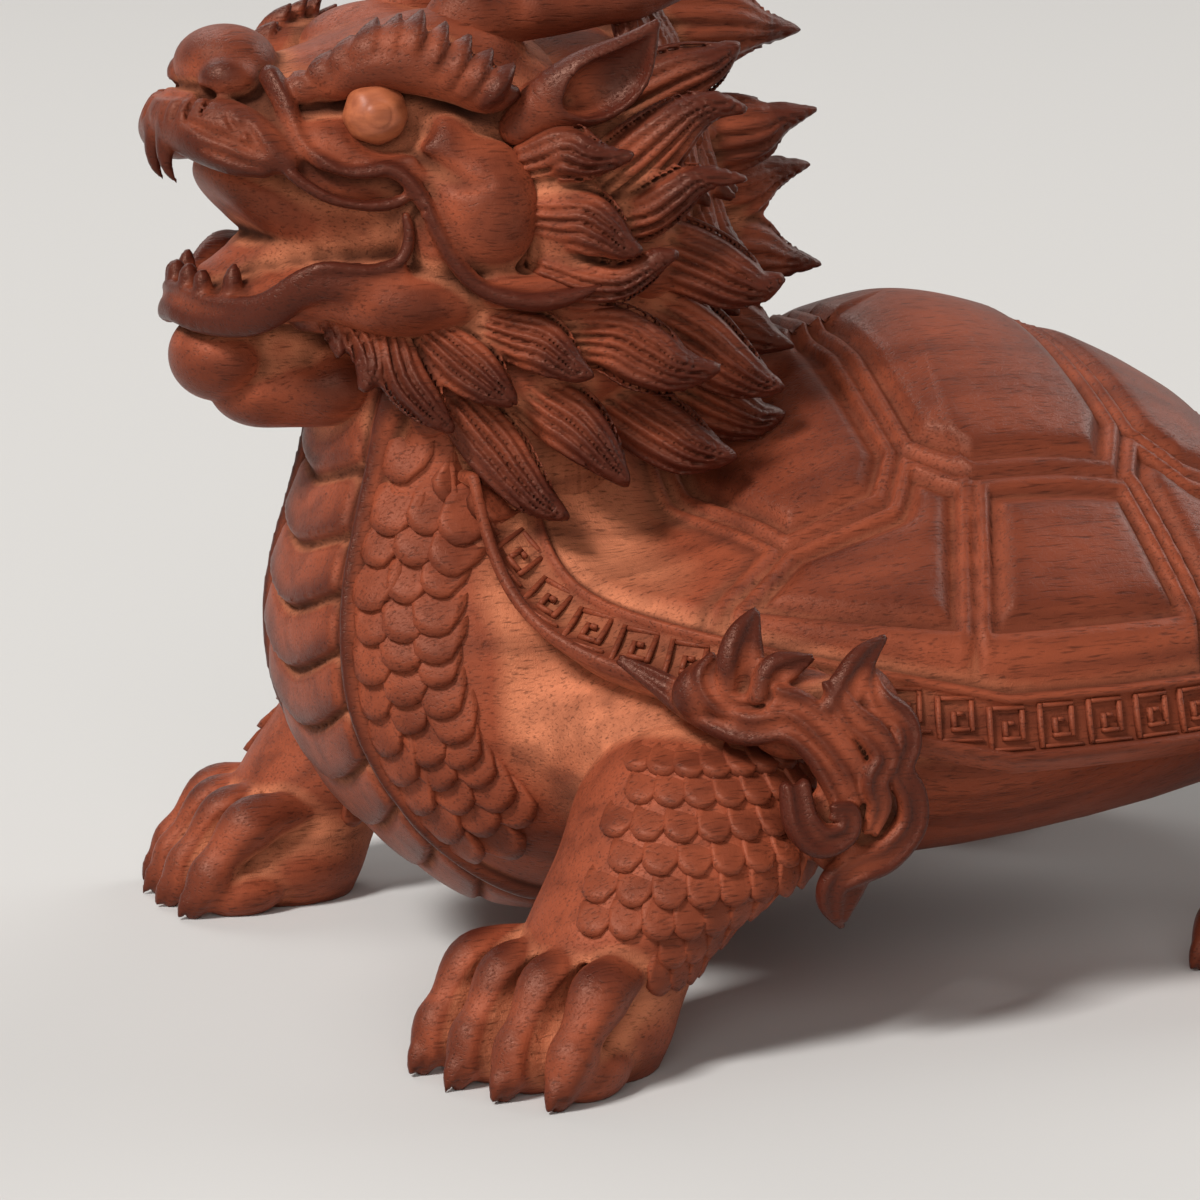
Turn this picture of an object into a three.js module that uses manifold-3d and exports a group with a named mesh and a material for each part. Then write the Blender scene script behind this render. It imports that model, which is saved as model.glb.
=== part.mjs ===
// Dragon turtle figurine: a hardwood turtle with a maned dragon head, pieced together from separately
// carved blanks that are glued on dowels. Millimetres, +Z up, the figure faces -Y and stands on z = 0.
// Points are written as (forward, left, up), as a carver reads the figure.
import * as THREE from "three";
import { mergeVertices } from "three/addons/utils/BufferGeometryUtils.js";
import Module from "manifold-3d";

const wasm = await Module();
wasm.setup();

// Glue line between neighbouring pieces, and the easy fit of a dowel in its bore.
const GLUE_LINE = 0.3;
const DOWEL_CLEARANCE = 0.1;

// Carapace: an oval dome on an upright marginal band whose front end climbs towards the neck.
const SHELL_CENTRE = -4;
const SHELL_HALF_LENGTH = 53;
const SHELL_HALF_WIDTH = 44;
const SHELL_CROWN = 63.5;
const RIM_UNDERSIDE = 25;
const RIM_BAND = 7.5;
const RIM_INSET = 1.5;
const COLLAR_RISE = 13.5;
const COLLAR_HORN = 11.5;
const COLLAR_LEAN = 6;
const COLLAR_DIP = 4.5;
const COLLAR_THICKNESS = 5;
const COLLAR_HOLLOW = 4.5;
const COLLAR_START_ANGLE = 80;
const COLLAR_END_ANGLE = 20;
const SCUTE_RELIEF = 0.8;
const SCUTE_SEAM = 5.6;

// Trunk: a belly that runs forward into an upright chest and neck.
const BELLY_HEIGHT = 26;
const BELLY_HALF_WIDTH = 33;
const BELLY_HALF_DEPTH = 17;
const CHEST_FORWARD = 38;
const CHEST_HEIGHT = 33;
const CHEST_RADIUS = 22;
const SHOULDER_FORWARD = 30;
const SHOULDER_HALF_WIDTH = 35;
const NECK_FORWARD = 43;
const NECK_TOP = 58;
const NECK_RADIUS = 14.5;

// Lapped plates down the front, between two cords: angles in degrees round the middle of the chest.
const PLATES = 9;
const PLATE_PITCH = 14.6;
const PLATE_TOP = 52;
const PLATE_REACH = 25;
const PLATE_HALF_WIDTH = 12;
const PLATE_DEPTH = 5.5;
const PLATE_LAP = 0.7;
const CORD_RADIUS = 1;

// Legs: each foot's centre, with the toes turned out by its own yaw in degrees.
const FRONT_FOOT_FORWARD = 46;
const REAR_FOOT_FORWARD = -36;
const FOOT_LEFT = 35;
const FOOT_LENGTH = 18;
const FOOT_WIDTH = 18;
const FOOT_HEIGHT = 10;
const TOE_RADIUS = 2.7;
const TOE_LENGTH = 9;
const TOES = 4;
const THIGH_RADIUS = 11.5;
const ANKLE_RADIUS = 7.5;
const HIP_HEIGHT = 25;
const FRONT_HIP_SETBACK = 15;
const REAR_HIP_SETBACK = 2;

// Head, measured from the centre of the neck's top face.
const EYE_RADIUS = 3;
const ANTLER_LENGTH = 30;
const ANTLER_RADIUS = 2.8;
const EAR_LENGTH = 16;
const EAR_WIDTH = 4.2;
const LOCK_DEPTH = 2.4;

// Flame scrolls sit at these angles round the rim from the front; the tail stands out behind the shell.
const FRONT_FLAME_ANGLE = 54;
const REAR_FLAME_ANGLE = 119;
const TAIL_OVERHANG = 14;
const TAIL_HEIGHT = 47;

// Dowels: radius and length of each kind.
const NECK_DOWEL = { radius: 4, length: 22 };
const LEG_DOWEL = { radius: 2.5, length: 16 };
const SHELL_DOWEL = { radius: 2.5, length: 16 };
const TAIL_DOWEL = { radius: 2, length: 12 };
const ANTLER_DOWEL = { radius: 1.2, length: 8 };

const WOOD = new THREE.MeshStandardMaterial({ color: 0x8a4a34, roughness: 0.45, metalness: 0 });
const EYE_WOOD = new THREE.MeshStandardMaterial({ color: 0xb9683f, roughness: 0.5, metalness: 0 });
const DOWEL_WOOD = new THREE.MeshStandardMaterial({ color: 0xc79a63, roughness: 0.7, metalness: 0 });

const UP = new THREE.Vector3(0, 0, 1);
const FORWARD = new THREE.Vector3(0, -1, 0);
const LEFT = new THREE.Vector3(1, 0, 0);
const at = (forward, left, up) => new THREE.Vector3(left, -forward, up);
const face = (forward, left, up) => [NECK_FORWARD + forward, left, NECK_TOP + up];

// Solids from closed geometry, and geometry back from solids.
function solidOf(geometry) {
  const bare = geometry.clone();
  bare.deleteAttribute("normal");
  bare.deleteAttribute("uv");
  const merged = mergeVertices(bare, 1e-4);
  return new wasm.Manifold(
    new wasm.Mesh({
      numProp: 3,
      vertProperties: new Float32Array(merged.attributes.position.array),
      triVerts: new Uint32Array(merged.index.array),
    }),
  );
}

function geometryOf(solid) {
  const mesh = solid.getMesh();
  const geometry = new THREE.BufferGeometry();
  geometry.setAttribute("position", new THREE.BufferAttribute(mesh.vertProperties, 3));
  geometry.setIndex(new THREE.BufferAttribute(mesh.triVerts, 1));
  geometry.computeVertexNormals();
  return geometry;
}

const join = (solids) => solids.reduce((whole, solid) => whole.add(solid));
const cut = (solid, ...tools) => tools.reduce((left, tool) => left.subtract(tool), solid);

// The piece itself without the chips that a cut leaves loose.
function withoutChips(solid) {
  return solid.decompose().reduce((a, b) => (a.volume() > b.volume() ? a : b));
}

// A skin of rings, closed by a fan on a tip at each end.
function ringSkin(rings, firstTip, lastTip) {
  const sides = rings[0].length;
  const points = [...rings.flat(), firstTip, lastTip];
  const first = points.length - 2;
  const last = points.length - 1;
  const index = [];
  for (let side = 0; side < sides; side++) {
    const next = (side + 1) % sides;
    index.push(first, next, side);
    const top = (rings.length - 1) * sides;
    index.push(last, top + side, top + next);
    for (let ring = 0; ring + 1 < rings.length; ring++) {
      const low = ring * sides;
      const high = low + sides;
      index.push(low + side, low + next, high + next, low + side, high + next, high + side);
    }
  }
  const geometry = new THREE.BufferGeometry().setFromPoints(points);
  geometry.setIndex(index);
  return solidOf(geometry);
}

// An oval section swept through stations of [forward, left, up, half width, half depth].
// The width lies square to the path and to `flat`; `grow` swells the solid for cutting its neighbours.
function sweep(stations, { sides = 7, steps = 2, grow = 0, flat = UP } = {}) {
  const path = new THREE.CatmullRomCurve3(stations.map(([f, l, u]) => at(f, l, u)));
  const sizes = stations.map(([, , , wide, deep = wide]) => new THREE.Vector3(wide, deep, 0));
  const sizePath = new THREE.CatmullRomCurve3(sizes, false, "chordal");
  const smallest = 0.2;
  const count = steps * (stations.length - 1);
  const rings = [];
  for (let step = 0; step <= count; step++) {
    const t = step / count;
    const centre = path.getPoint(t);
    const along = path.getTangent(t);
    const across = new THREE.Vector3().crossVectors(along, flat).normalize();
    const over = new THREE.Vector3().crossVectors(across, along);
    const size = sizePath.getPoint(t);
    const wide = Math.max(size.x, smallest) + grow;
    const deep = Math.max(size.y, smallest) + grow;
    const ring = [];
    for (let side = 0; side < sides; side++) {
      const angle = (-2 * Math.PI * side) / sides;
      const point = centre.clone();
      point.addScaledVector(across, wide * Math.cos(angle));
      ring.push(point.addScaledVector(over, deep * Math.sin(angle)));
    }
    rings.push(ring);
  }
  const tip = (t, sign) => path.getPoint(t).addScaledVector(path.getTangent(t), sign * (grow + smallest));
  return ringSkin(rings, tip(0, -1), tip(1, 1));
}

// An egg-shaped solid with its own half sizes, tipped nose-up by `pitch` degrees.
function egg([forward, left, up], [halfForward, halfLeft, halfUp], { grow = 0, pitch = 0, fine = 10 } = {}) {
  const geometry = new THREE.SphereGeometry(1, fine, Math.round(fine * 0.7));
  geometry.rotateX(Math.PI / 2);
  geometry.scale(halfLeft + grow, halfForward + grow, halfUp + grow);
  geometry.rotateX(THREE.MathUtils.degToRad(-pitch));
  const centre = at(forward, left, up);
  geometry.translate(centre.x, centre.y, centre.z);
  return solidOf(geometry);
}

// A round dowel, or with `grow` its bore, between two points.
function dowel(from, direction, { radius, length }, grow = 0) {
  const rounds = 12;
  const geometry = new THREE.CylinderGeometry(radius + grow, radius + grow, length + 2 * grow, rounds);
  const turn = new THREE.Quaternion().setFromUnitVectors(new THREE.Vector3(0, 1, 0), direction);
  geometry.applyQuaternion(turn);
  const centre = from.clone().addScaledVector(direction, length / 2);
  geometry.translate(centre.x, centre.y, centre.z);
  return solidOf(geometry);
}

const mirrored = (stations, side) => stations.map(([f, l, ...rest]) => [f, side * l, ...rest]);

// Trunk: the belly runs forward into an upright chest that narrows to the neck.
function trunkBlank(grow = 0) {
  const rump = SHELL_CENTRE - SHELL_HALF_LENGTH;
  const belly = sweep(
    [
      [rump + 8, 0, BELLY_HEIGHT + 1, 7, 5],
      [rump + 18, 0, BELLY_HEIGHT, BELLY_HALF_WIDTH - 11, BELLY_HALF_DEPTH - 4],
      [SHELL_CENTRE, 0, BELLY_HEIGHT, BELLY_HALF_WIDTH, BELLY_HALF_DEPTH],
      [CHEST_FORWARD - 18, 0, BELLY_HEIGHT + 1, BELLY_HALF_WIDTH - 4, BELLY_HALF_DEPTH],
      [CHEST_FORWARD, 0, BELLY_HEIGHT + 2, CHEST_RADIUS - 2, BELLY_HALF_DEPTH - 4],
    ],
    { sides: 16, grow },
  );
  const chest = sweep(
    [
      [CHEST_FORWARD - 4, 0, BELLY_HEIGHT - BELLY_HALF_DEPTH - 2, 9, 5],
      [CHEST_FORWARD - 5, 0, BELLY_HEIGHT - BELLY_HALF_DEPTH + 3, CHEST_RADIUS - 4, CHEST_RADIUS - 8],
      [CHEST_FORWARD - 4, 0, (BELLY_HEIGHT + CHEST_HEIGHT - BELLY_HALF_DEPTH) / 2, CHEST_RADIUS, CHEST_RADIUS],
      [CHEST_FORWARD - 1, 0, CHEST_HEIGHT, CHEST_RADIUS, CHEST_RADIUS + 2],
      [(CHEST_FORWARD + NECK_FORWARD) / 2, 0, (CHEST_HEIGHT + NECK_TOP) / 2, NECK_RADIUS + 3, NECK_RADIUS + 3.5],
      [NECK_FORWARD, 0, NECK_TOP, NECK_RADIUS, NECK_RADIUS - 1],
    ],
    { sides: 16, grow, flat: FORWARD },
  );
  const shoulders = egg([SHOULDER_FORWARD, 0, BELLY_HEIGHT + 1], [17, SHOULDER_HALF_WIDTH, 11], { grow, fine: 14 });
  return join([belly, chest, shoulders, chestPlates(grow), chestCord(1, grow), chestCord(-1, grow)]);
}

// A point on the front of the chest, `slope` degrees above the level of its middle.
function chestFront(slope, left, reach) {
  const turn = THREE.MathUtils.degToRad(slope);
  const lift = 2.6 * (Math.abs(slope) / 60) ** 3;
  return [CHEST_FORWARD - 2 + (reach + lift) * Math.cos(turn), left, CHEST_HEIGHT + 1 + (reach + lift) * Math.sin(turn)];
}

// Plates: each one stands out furthest at its lower edge, over the start of the next.
function chestPlates(grow) {
  const stations = [];
  for (let plate = 0; plate < PLATES; plate++) {
    const slope = PLATE_TOP - plate * PLATE_PITCH;
    const narrowing = 3 * Math.max(0, slope / PLATE_TOP);
    const station = (drop, lap) => [
      ...chestFront(slope - drop, 0, PLATE_REACH - PLATE_DEPTH),
      PLATE_HALF_WIDTH - narrowing,
      PLATE_DEPTH + lap,
    ];
    stations.push(station(0.8, -0.2), station(PLATE_PITCH, PLATE_LAP));
  }
  return sweep(stations, { sides: 14, steps: 1, grow, flat: LEFT });
}

function chestCord(side, grow) {
  const stations = [];
  for (let slope = PLATE_TOP; slope >= -82; slope -= 13.4) {
    const narrowing = 4 * Math.max(0, slope / PLATE_TOP) ** 1.5;
    const left = PLATE_HALF_WIDTH + 0.6 - narrowing;
    const fall = CHEST_RADIUS - Math.sqrt(CHEST_RADIUS ** 2 - left ** 2);
    stations.push([...chestFront(slope, side * left, PLATE_REACH - fall), CORD_RADIUS, CORD_RADIUS]);
  }
  return sweep(stations, { sides: 6, steps: 1, grow, flat: LEFT });
}

// Carapace: the marginal band climbs at the front, where the shell opens round the neck, and ends in a
// steep horn on each side of it. `angle` runs from 0 at the front through 90 degrees at the figure's left.
function collarClimb(angle) {
  const fromFront = Math.abs(THREE.MathUtils.radToDeg(Math.atan2(Math.sin(angle), Math.cos(angle))));
  const span = COLLAR_START_ANGLE - COLLAR_END_ANGLE;
  return THREE.MathUtils.clamp((COLLAR_START_ANGLE - fromFront) / span, 0, 1);
}

function rimPoint(angle, inset = 0) {
  const square = 2.5;
  const c = Math.cos(angle);
  const s = Math.sin(angle);
  const reach = c > 0 ? (c ** square + Math.abs(s) ** square) ** (-1 / square) : 1;
  const forward = SHELL_CENTRE + (SHELL_HALF_LENGTH - inset) * reach * c;
  const climb = collarClimb(angle);
  const up = RIM_UNDERSIDE + COLLAR_RISE * climb + COLLAR_HORN * climb ** 12;
  return [forward, (SHELL_HALF_WIDTH - inset) * reach * s, up];
}

function carapaceBlank(grow = 0) {
  const sides = 28;
  const domeShares = [0.93, 0.78, 0.62, 0.45, 0.25];
  const ringAt = (share, inset, lift) => {
    const ring = [];
    for (let side = 0; side < sides; side++) {
      const angle = (2 * Math.PI * side) / sides;
      const climb = collarClimb(angle);
      const [forward, left, up] = rimPoint(angle, inset(climb) - grow);
      ring.push(at(SHELL_CENTRE + (forward - SHELL_CENTRE) * share, left * share, up + lift(up, climb)));
    }
    return ring;
  };
  const bandInset = (climb) => RIM_INSET + COLLAR_LEAN * climb;
  const bandTop = (climb) => RIM_BAND - COLLAR_DIP * climb ** 2;
  const dome = (share) => (up, climb) => {
    const fullness = 1 - THREE.MathUtils.lerp(0.88, 1, climb) * share ** THREE.MathUtils.lerp(1.68, 1.3, climb);
    const hollow = COLLAR_HOLLOW * Math.sqrt(climb) * Math.sin(Math.PI * Math.max(0, (share - 0.3) / 0.7));
    return bandTop(climb) + (SHELL_CROWN - up - bandTop(climb)) * fullness - hollow + grow;
  };
  const rings = [
    ringAt(0.5, () => 0, (up) => RIM_UNDERSIDE - up - grow),
    ringAt(0.86, () => 0, (up, climb) => -COLLAR_THICKNESS * climb - grow),
    ringAt(1, () => 1, () => -grow),
    ringAt(1, () => 0, () => 1 - grow),
    ringAt(1, bandInset, (up, climb) => bandTop(climb) + grow),
    ...domeShares.map((share) => ringAt(share, bandInset, dome(share))),
  ];
  const under = at(SHELL_CENTRE, 0, RIM_UNDERSIDE - grow);
  return ringSkin(rings, under, at(SHELL_CENTRE, 0, SHELL_CROWN + grow));
}

// Scutes: four along the back and four down each side, as plates raised on the dome.
// Each outline is in shares of the shell's half length (forward) and half width (left).
const BACK_SEAMS = [0.55, 0.19, -0.27, -0.6, -0.88];
const BACK_SEAM_HALVES = [0.3, 0.5, 0.5, 0.42, 0.2];
const BACK_HALVES = [0.6, 0.63, 0.58, 0.44];
const SIDE_TOP_SEAMS = [0.46, 0.11, -0.21, -0.53, -0.84];
const SIDE_TOPS = [0.6, 0.65, 0.64, 0.58, 0.32];
const SIDE_FOOT_SEAMS = [0.72, 0.24, -0.24, -0.6, -0.93];
const SIDE_FOOT = 0.98;
function scuteOutlines() {
  const outlines = [];
  for (let row = 0; row + 1 < BACK_SEAMS.length; row++) {
    const front = [BACK_SEAMS[row], BACK_SEAM_HALVES[row]];
    const rear = [BACK_SEAMS[row + 1], BACK_SEAM_HALVES[row + 1]];
    const shoulder = [front[0] - 0.09, BACK_HALVES[row]];
    const hip = [rear[0] + 0.07, BACK_HALVES[row]];
    const half = [front, shoulder, hip, rear];
    outlines.push([...half, ...half.map(([f, l]) => [f, -l]).reverse()]);
  }
  const foot = (seam) => {
    const round = seam > 0 ? 2.5 : 2;
    return [seam, SIDE_FOOT * (1 - Math.abs(seam) ** round) ** (1 / round)];
  };
  for (let row = 0; row + 1 < SIDE_TOPS.length; row++) {
    const front = SIDE_FOOT_SEAMS[row];
    const rear = SIDE_FOOT_SEAMS[row + 1];
    const outline = [
      [SIDE_TOP_SEAMS[row], SIDE_TOPS[row]],
      [SIDE_TOP_SEAMS[row + 1], SIDE_TOPS[row + 1]],
      foot(rear),
      foot((front + rear) / 2),
      foot(front),
    ];
    outlines.push(outline, outline.map(([f, l]) => [f, -l]));
  }
  return outlines;
}

function scutePlate(outline) {
  const points = outline.map(
    ([f, l]) => new THREE.Vector2(l * SHELL_HALF_WIDTH, -(SHELL_CENTRE + f * SHELL_HALF_LENGTH)),
  );
  const middle = points.reduce((sum, point) => sum.add(point), new THREE.Vector2()).divideScalar(points.length);
  const shrunk = points.map((point) => {
    const away = point.clone().sub(middle);
    return middle.clone().addScaledVector(away, 1 - SCUTE_SEAM / 2 / away.length());
  });
  const prism = new THREE.ExtrudeGeometry(new THREE.Shape(shrunk), { depth: SHELL_CROWN, bevelEnabled: false });
  prism.translate(0, 0, RIM_UNDERSIDE + RIM_BAND + 2);
  return solidOf(prism).intersect(carapaceBlank(SCUTE_RELIEF));
}

const scutedCarapace = () => join([carapaceBlank(), ...scuteOutlines().map(scutePlate)]);

// A leg: thigh, shank and a broad foot whose toes end in claws on the ground.
function legBlank({ forward, left, yaw, setback }, grow = 0) {
  const side = Math.sign(left);
  const turn = THREE.MathUtils.degToRad(yaw) * side;
  const fromFoot = (ahead, out, up, ...sizes) => [
    forward + ahead * Math.cos(turn) - out * Math.sin(turn),
    left + ahead * Math.sin(turn) + out * Math.cos(turn),
    up,
    ...sizes,
  ];
  const hip = [forward - setback, left - side * 4, HIP_HEIGHT];
  const shank = sweep(
    [
      [...hip, THIGH_RADIUS - 2, THIGH_RADIUS - 2],
      [hip[0] + setback * 0.25, left - side * 1.5, HIP_HEIGHT - 6, THIGH_RADIUS, THIGH_RADIUS],
      [forward - setback * 0.3, left, FOOT_HEIGHT + 4, ANKLE_RADIUS + 1, ANKLE_RADIUS + 1],
      fromFoot(-FOOT_LENGTH * 0.12, 0, FOOT_HEIGHT / 2, ANKLE_RADIUS, ANKLE_RADIUS),
    ],
    { sides: 10, grow, flat: FORWARD },
  );
  const pad = egg([forward, left, FOOT_HEIGHT * 0.42], [FOOT_LENGTH / 2, FOOT_WIDTH / 2, FOOT_HEIGHT * 0.6], { grow });
  const toes = [];
  for (let toe = 0; toe < TOES; toe++) {
    const spread = toe / (TOES - 1) - 0.5;
    const out = spread * (FOOT_WIDTH - TOE_RADIUS);
    const reach = FOOT_LENGTH / 2 - 3 - 5 * spread ** 2;
    toes.push(
      sweep(
        [
          fromFoot(reach - 6, out * 0.8, FOOT_HEIGHT * 0.62, TOE_RADIUS, TOE_RADIUS),
          fromFoot(reach, out, FOOT_HEIGHT * 0.62, TOE_RADIUS, TOE_RADIUS),
          fromFoot(reach + TOE_LENGTH * 0.45, out * 1.08, TOE_RADIUS, TOE_RADIUS * 0.9, TOE_RADIUS),
          fromFoot(reach + TOE_LENGTH * 0.75, out * 1.12, 0.4, 0.5, 0.6),
        ],
        { sides: 6, steps: 1, grow },
      ),
    );
  }
  return join([shank, pad, ...toes]);
}

const belowGround = (() => {
  const geometry = new THREE.BoxGeometry(400, 400, 100);
  geometry.translate(0, 0, -50);
  return solidOf(geometry);
})();

const LEGS = {
  front_left_leg: { forward: FRONT_FOOT_FORWARD, left: FOOT_LEFT, yaw: 24, setback: FRONT_HIP_SETBACK },
  front_right_leg: { forward: FRONT_FOOT_FORWARD + 3, left: -FOOT_LEFT, yaw: 6, setback: FRONT_HIP_SETBACK },
  rear_left_leg: { forward: REAR_FOOT_FORWARD, left: FOOT_LEFT, yaw: 18, setback: REAR_HIP_SETBACK },
  rear_right_leg: { forward: REAR_FOOT_FORWARD, left: -FOOT_LEFT, yaw: 18, setback: REAR_HIP_SETBACK },
};

// Skull, muzzle and open jaws, carved in one block.
function headBlank(grow = 0) {
  const both = (make) => [make(1), make(-1)];
  return join([
    egg(face(4, 0, 19), [19, 16, 14], { grow }),
    sweep(
      [
        [...face(6, 0, 23), 13, 10],
        [...face(17, 0, 25), 12, 8],
        [...face(22, 0, 26), 9, 6],
        [...face(27, 0, 25.5), 4, 3.5],
      ],
      { sides: 10, grow },
    ),
    egg(face(21.5, 0, 25), [6.2, 9.5, 4.3], { grow }),
    egg(face(3, 0, 8.5), [12, 14, 7], { grow }),
    sweep(
      [
        [...face(6, 0, 9), 15, 6],
        [...face(16, 0, 11), 12.5, 4],
        [...face(21.5, 0, 10.5), 9, 3.5],
        [...face(25.5, 0, 10), 5, 2.5],
      ],
      { sides: 10, grow },
    ),
    egg(face(22, 0, 4), [5.3, 6.8, 5.4], { grow }),
    egg(face(17, 0, 0.5), [5.5, 6.5, 3.6], { grow }),
    egg(face(20.5, 0, 30.8), [5, 6.5, 4.6], { grow }),
    ...both((side) => egg(face(18, side * 7.5, 28.6), [3.6, 3.4, 3], { grow })),
    ...both((side) => egg(face(4.5, side * 12, 18.5), [8, 8, 9], { grow })),
    ...both((side) =>
      sweep(
        mirrored(
          [
            [...face(18, 8, 28), 2, 2.5],
            [...face(12.5, 12, 32), 3.5, 3],
            [...face(6, 15, 32.5), 3.5, 3],
            [...face(-0.5, 17, 29), 1.5, 2],
          ],
          side,
        ),
        { sides: 8, grow },
      ),
    ),
    ...both((side) =>
      sweep(
        mirrored(
          [
            [...face(26, 3, 23.5), 1.6, 1.6],
            [...face(26.6, 3.4, 21.5), 1.2, 1.2],
            [...face(26, 3.6, 19.6), 0.4, 0.4],
          ],
          side,
        ),
        { sides: 6, steps: 2, grow },
      ),
    ),
  ]);
}

// The gape between the jaws: open right across in front, with a pocket in each cheek.
function gape() {
  const across = (forward, up, half) => [...face(forward, 0, up), 24, half];
  const pocket = (side) =>
    sweep(
      mirrored([[...face(10.5, 17, 16), 1, 1.4], [...face(15, 16, 17), 5, 3.2], [...face(22, 14, 16.5), 6, 4]], side),
      { sides: 10 },
    );
  return join([sweep([across(19.5, 15, 1.2), across(24, 15.5, 4), across(33, 15, 5.5)], { sides: 10 }), pocket(1), pocket(-1)]);
}

const eyeAt = (side) => face(12.4, side * 12.6, 26.7);
const eyeBall = (side, grow = 0) => egg(eyeAt(side), [EYE_RADIUS, EYE_RADIUS, EYE_RADIUS], { grow, fine: 9 });

// An ear: a pointed leaf with a hollow facing outwards.
function earBlank(side, grow = 0) {
  const lean = (share, wide, deep, drop = 0) => [
    ...face(1 - share * EAR_LENGTH * 0.84, side * (15.5 + 5 * share), 26.5 + share * EAR_LENGTH * 0.5 - drop),
    wide,
    deep,
  ];
  return sweep(
    [lean(0, 2, 1.6), lean(0.35, EAR_WIDTH, 1.9, 0.6), lean(0.7, EAR_WIDTH * 0.75, 1.6, 0.4), lean(1, 0.4, 0.5)],
    { sides: 10, grow, flat: LEFT },
  );
}

function earHollow(side) {
  return egg(face(-5.6, side * 20.2, 29.6), [4.6, 1.6, 2.4], { pitch: -32, fine: 10 });
}

// An antler: a beam laid back over the crown with two upright prongs.
function antlerBlank(side, grow = 0) {
  const beam = (share, out, up, radius) => [...face(3 - share * ANTLER_LENGTH, side * out, up), radius];
  const prong = (share, out, up, reach) =>
    sweep(
      [beam(share, out, up, ANTLER_RADIUS * 0.8), beam(share + 0.06, out + 0.6, up + reach * 0.55, ANTLER_RADIUS * 0.6),
        beam(share + 0.17, out + 1, up + reach, 0.4)],
      { sides: 7, grow, flat: FORWARD },
    );
  return join([
    sweep(
      [beam(0, 7.5, 33.5, ANTLER_RADIUS), beam(0.3, 8.5, 35.5, ANTLER_RADIUS), beam(0.65, 9.5, 37, ANTLER_RADIUS * 0.8),
        beam(1, 9, 42, 0.4)],
      { sides: 8, grow },
    ),
    prong(0.08, 8, 34.5, 10),
    prong(0.5, 9.2, 36.5, 9),
  ]);
}

// A lock of hair from root to tip, bowed by `bow` at its middle, with a flicked point.
function lock([root, tip, width, bow = 0], side, grow = 0) {
  const between = (share, lift, wide, deep) => [
    root[0] + (tip[0] - root[0]) * share,
    side * (root[1] + (tip[1] - root[1]) * share),
    root[2] + (tip[2] - root[2]) * share + lift,
    wide,
    deep,
  ];
  return sweep(
    [
      between(0, 0, width * 0.8, LOCK_DEPTH),
      between(0.4, bow, width, LOCK_DEPTH),
      between(0.75, bow * 0.5, width * 0.55, LOCK_DEPTH * 0.7),
      between(1, 0, 0.35, 0.35),
    ],
    { sides: 6, steps: 1, grow, flat: LEFT },
  );
}

const MANE_LOCKS = [
  [face(-0.5, 17, 23), face(-9.5, 21.5, 23.5), 2.6, 0.8],
  [face(-6, 17.5, 19), face(-21, 20.5, 27), 3.6, -1.2],
  [face(-6, 17.5, 15.5), face(-20.5, 21, 20.3), 3, -1],
  [face(-1, 17.5, 15.5), face(-10, 22, 15.2), 3.2, 0.6],
  [face(-2, 17, 10.5), face(-13, 22, 13.4), 3, -1],
  [face(-10, 16, 12), face(-25.7, 18, 10), 3, 1.2],
];
const BEARD_LOCKS = [
  [face(15, 11.5, 7.5), face(12, 13.5, 0), 2.2, 0],
  [face(11.5, 13, 6.5), face(5.8, 15.5, -3), 2.6, 0],
  [face(7, 14.5, 6.5), face(0.3, 18.5, 0.2), 3, 0],
  [face(3, 16, 7.5), face(-5.4, 20.5, 3), 3, 0.8],
  [face(-5, 17, 8), face(-18.5, 20.5, 3.2), 3.4, 0.8],
];
const RUFF_LOCKS = [
  [face(3, 14, -1), face(-2.8, 19.5, -10.3), 3, 0.6],
  [face(-3, 16, 1), face(-10.9, 20.5, -10.7), 3.4, 0.8],
  [face(-10, 17, 2), face(-20.9, 18.5, -6.5), 3.4, 1],
  [face(-17, 13, 4), face(-28.7, 12.5, -2), 3.4, 1],
];
const NAPE_LOCKS = [
  [face(-12, 0, 30), face(-36.7, 0, 32), 5, -1],
  [face(-14, 0, 22), face(-38, 0, 24), 4.5, 1],
  [face(-14, 0, 15), face(-38.5, 0, 18.7), 4.5, 1],
  [face(-14, 0, 8), face(-39.2, 0, 9.1), 4.5, 1],
];
const NAPE_SIDE_LOCKS = [
  [face(-10, 7, 29), face(-28, 10, 34), 4, -1],
  [face(-13, 9, 20), face(-33, 10, 22), 4, 1],
  [face(-13, 9, 13), face(-33, 10, 13), 4, 1],
  [face(-13, 9, 6), face(-31, 9, 5), 4, 1],
];

const tuft = (rootPath, locks, side, grow) =>
  join([
    sweep(mirrored(rootPath, side), { sides: 8, grow, flat: LEFT }),
    ...locks.map((one) => lock(one, side, grow)),
  ]);
const maneRoot = [[...face(-4, 14.5, 27), 3.5], [...face(-4.5, 16, 18), 4.5], [...face(-6, 15.5, 9), 4]];
const beardRoot = [[...face(16.5, 9.5, 8), 2.4], [...face(7, 13, 7.5), 3], [...face(-5, 16, 8), 3.2]];
const ruffRoot = [[...face(5, 12.5, 0), 2.6], [...face(-5, 15.5, 2), 3.2], [...face(-17, 13, 5), 3.4]];
const maneBlank = (side, grow = 0) => tuft(maneRoot, MANE_LOCKS, side, grow);
const beardBlank = (side, grow = 0) => tuft(beardRoot, BEARD_LOCKS, side, grow);
const ruffBlank = (side, grow = 0) => tuft(ruffRoot, RUFF_LOCKS, side, grow);

// The crest: the mass of hair behind the skull with the locks that fall back over the shell.
function crestBlank(grow = 0) {
  return join([
    egg(face(-11, 0, 17), [13, 15, 18], { grow }),
    ...NAPE_LOCKS.map((one) => lock(one, 1, grow)),
    ...NAPE_SIDE_LOCKS.flatMap((one) => [lock(one, 1, grow), lock(one, -1, grow)]),
  ]);
}

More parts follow.
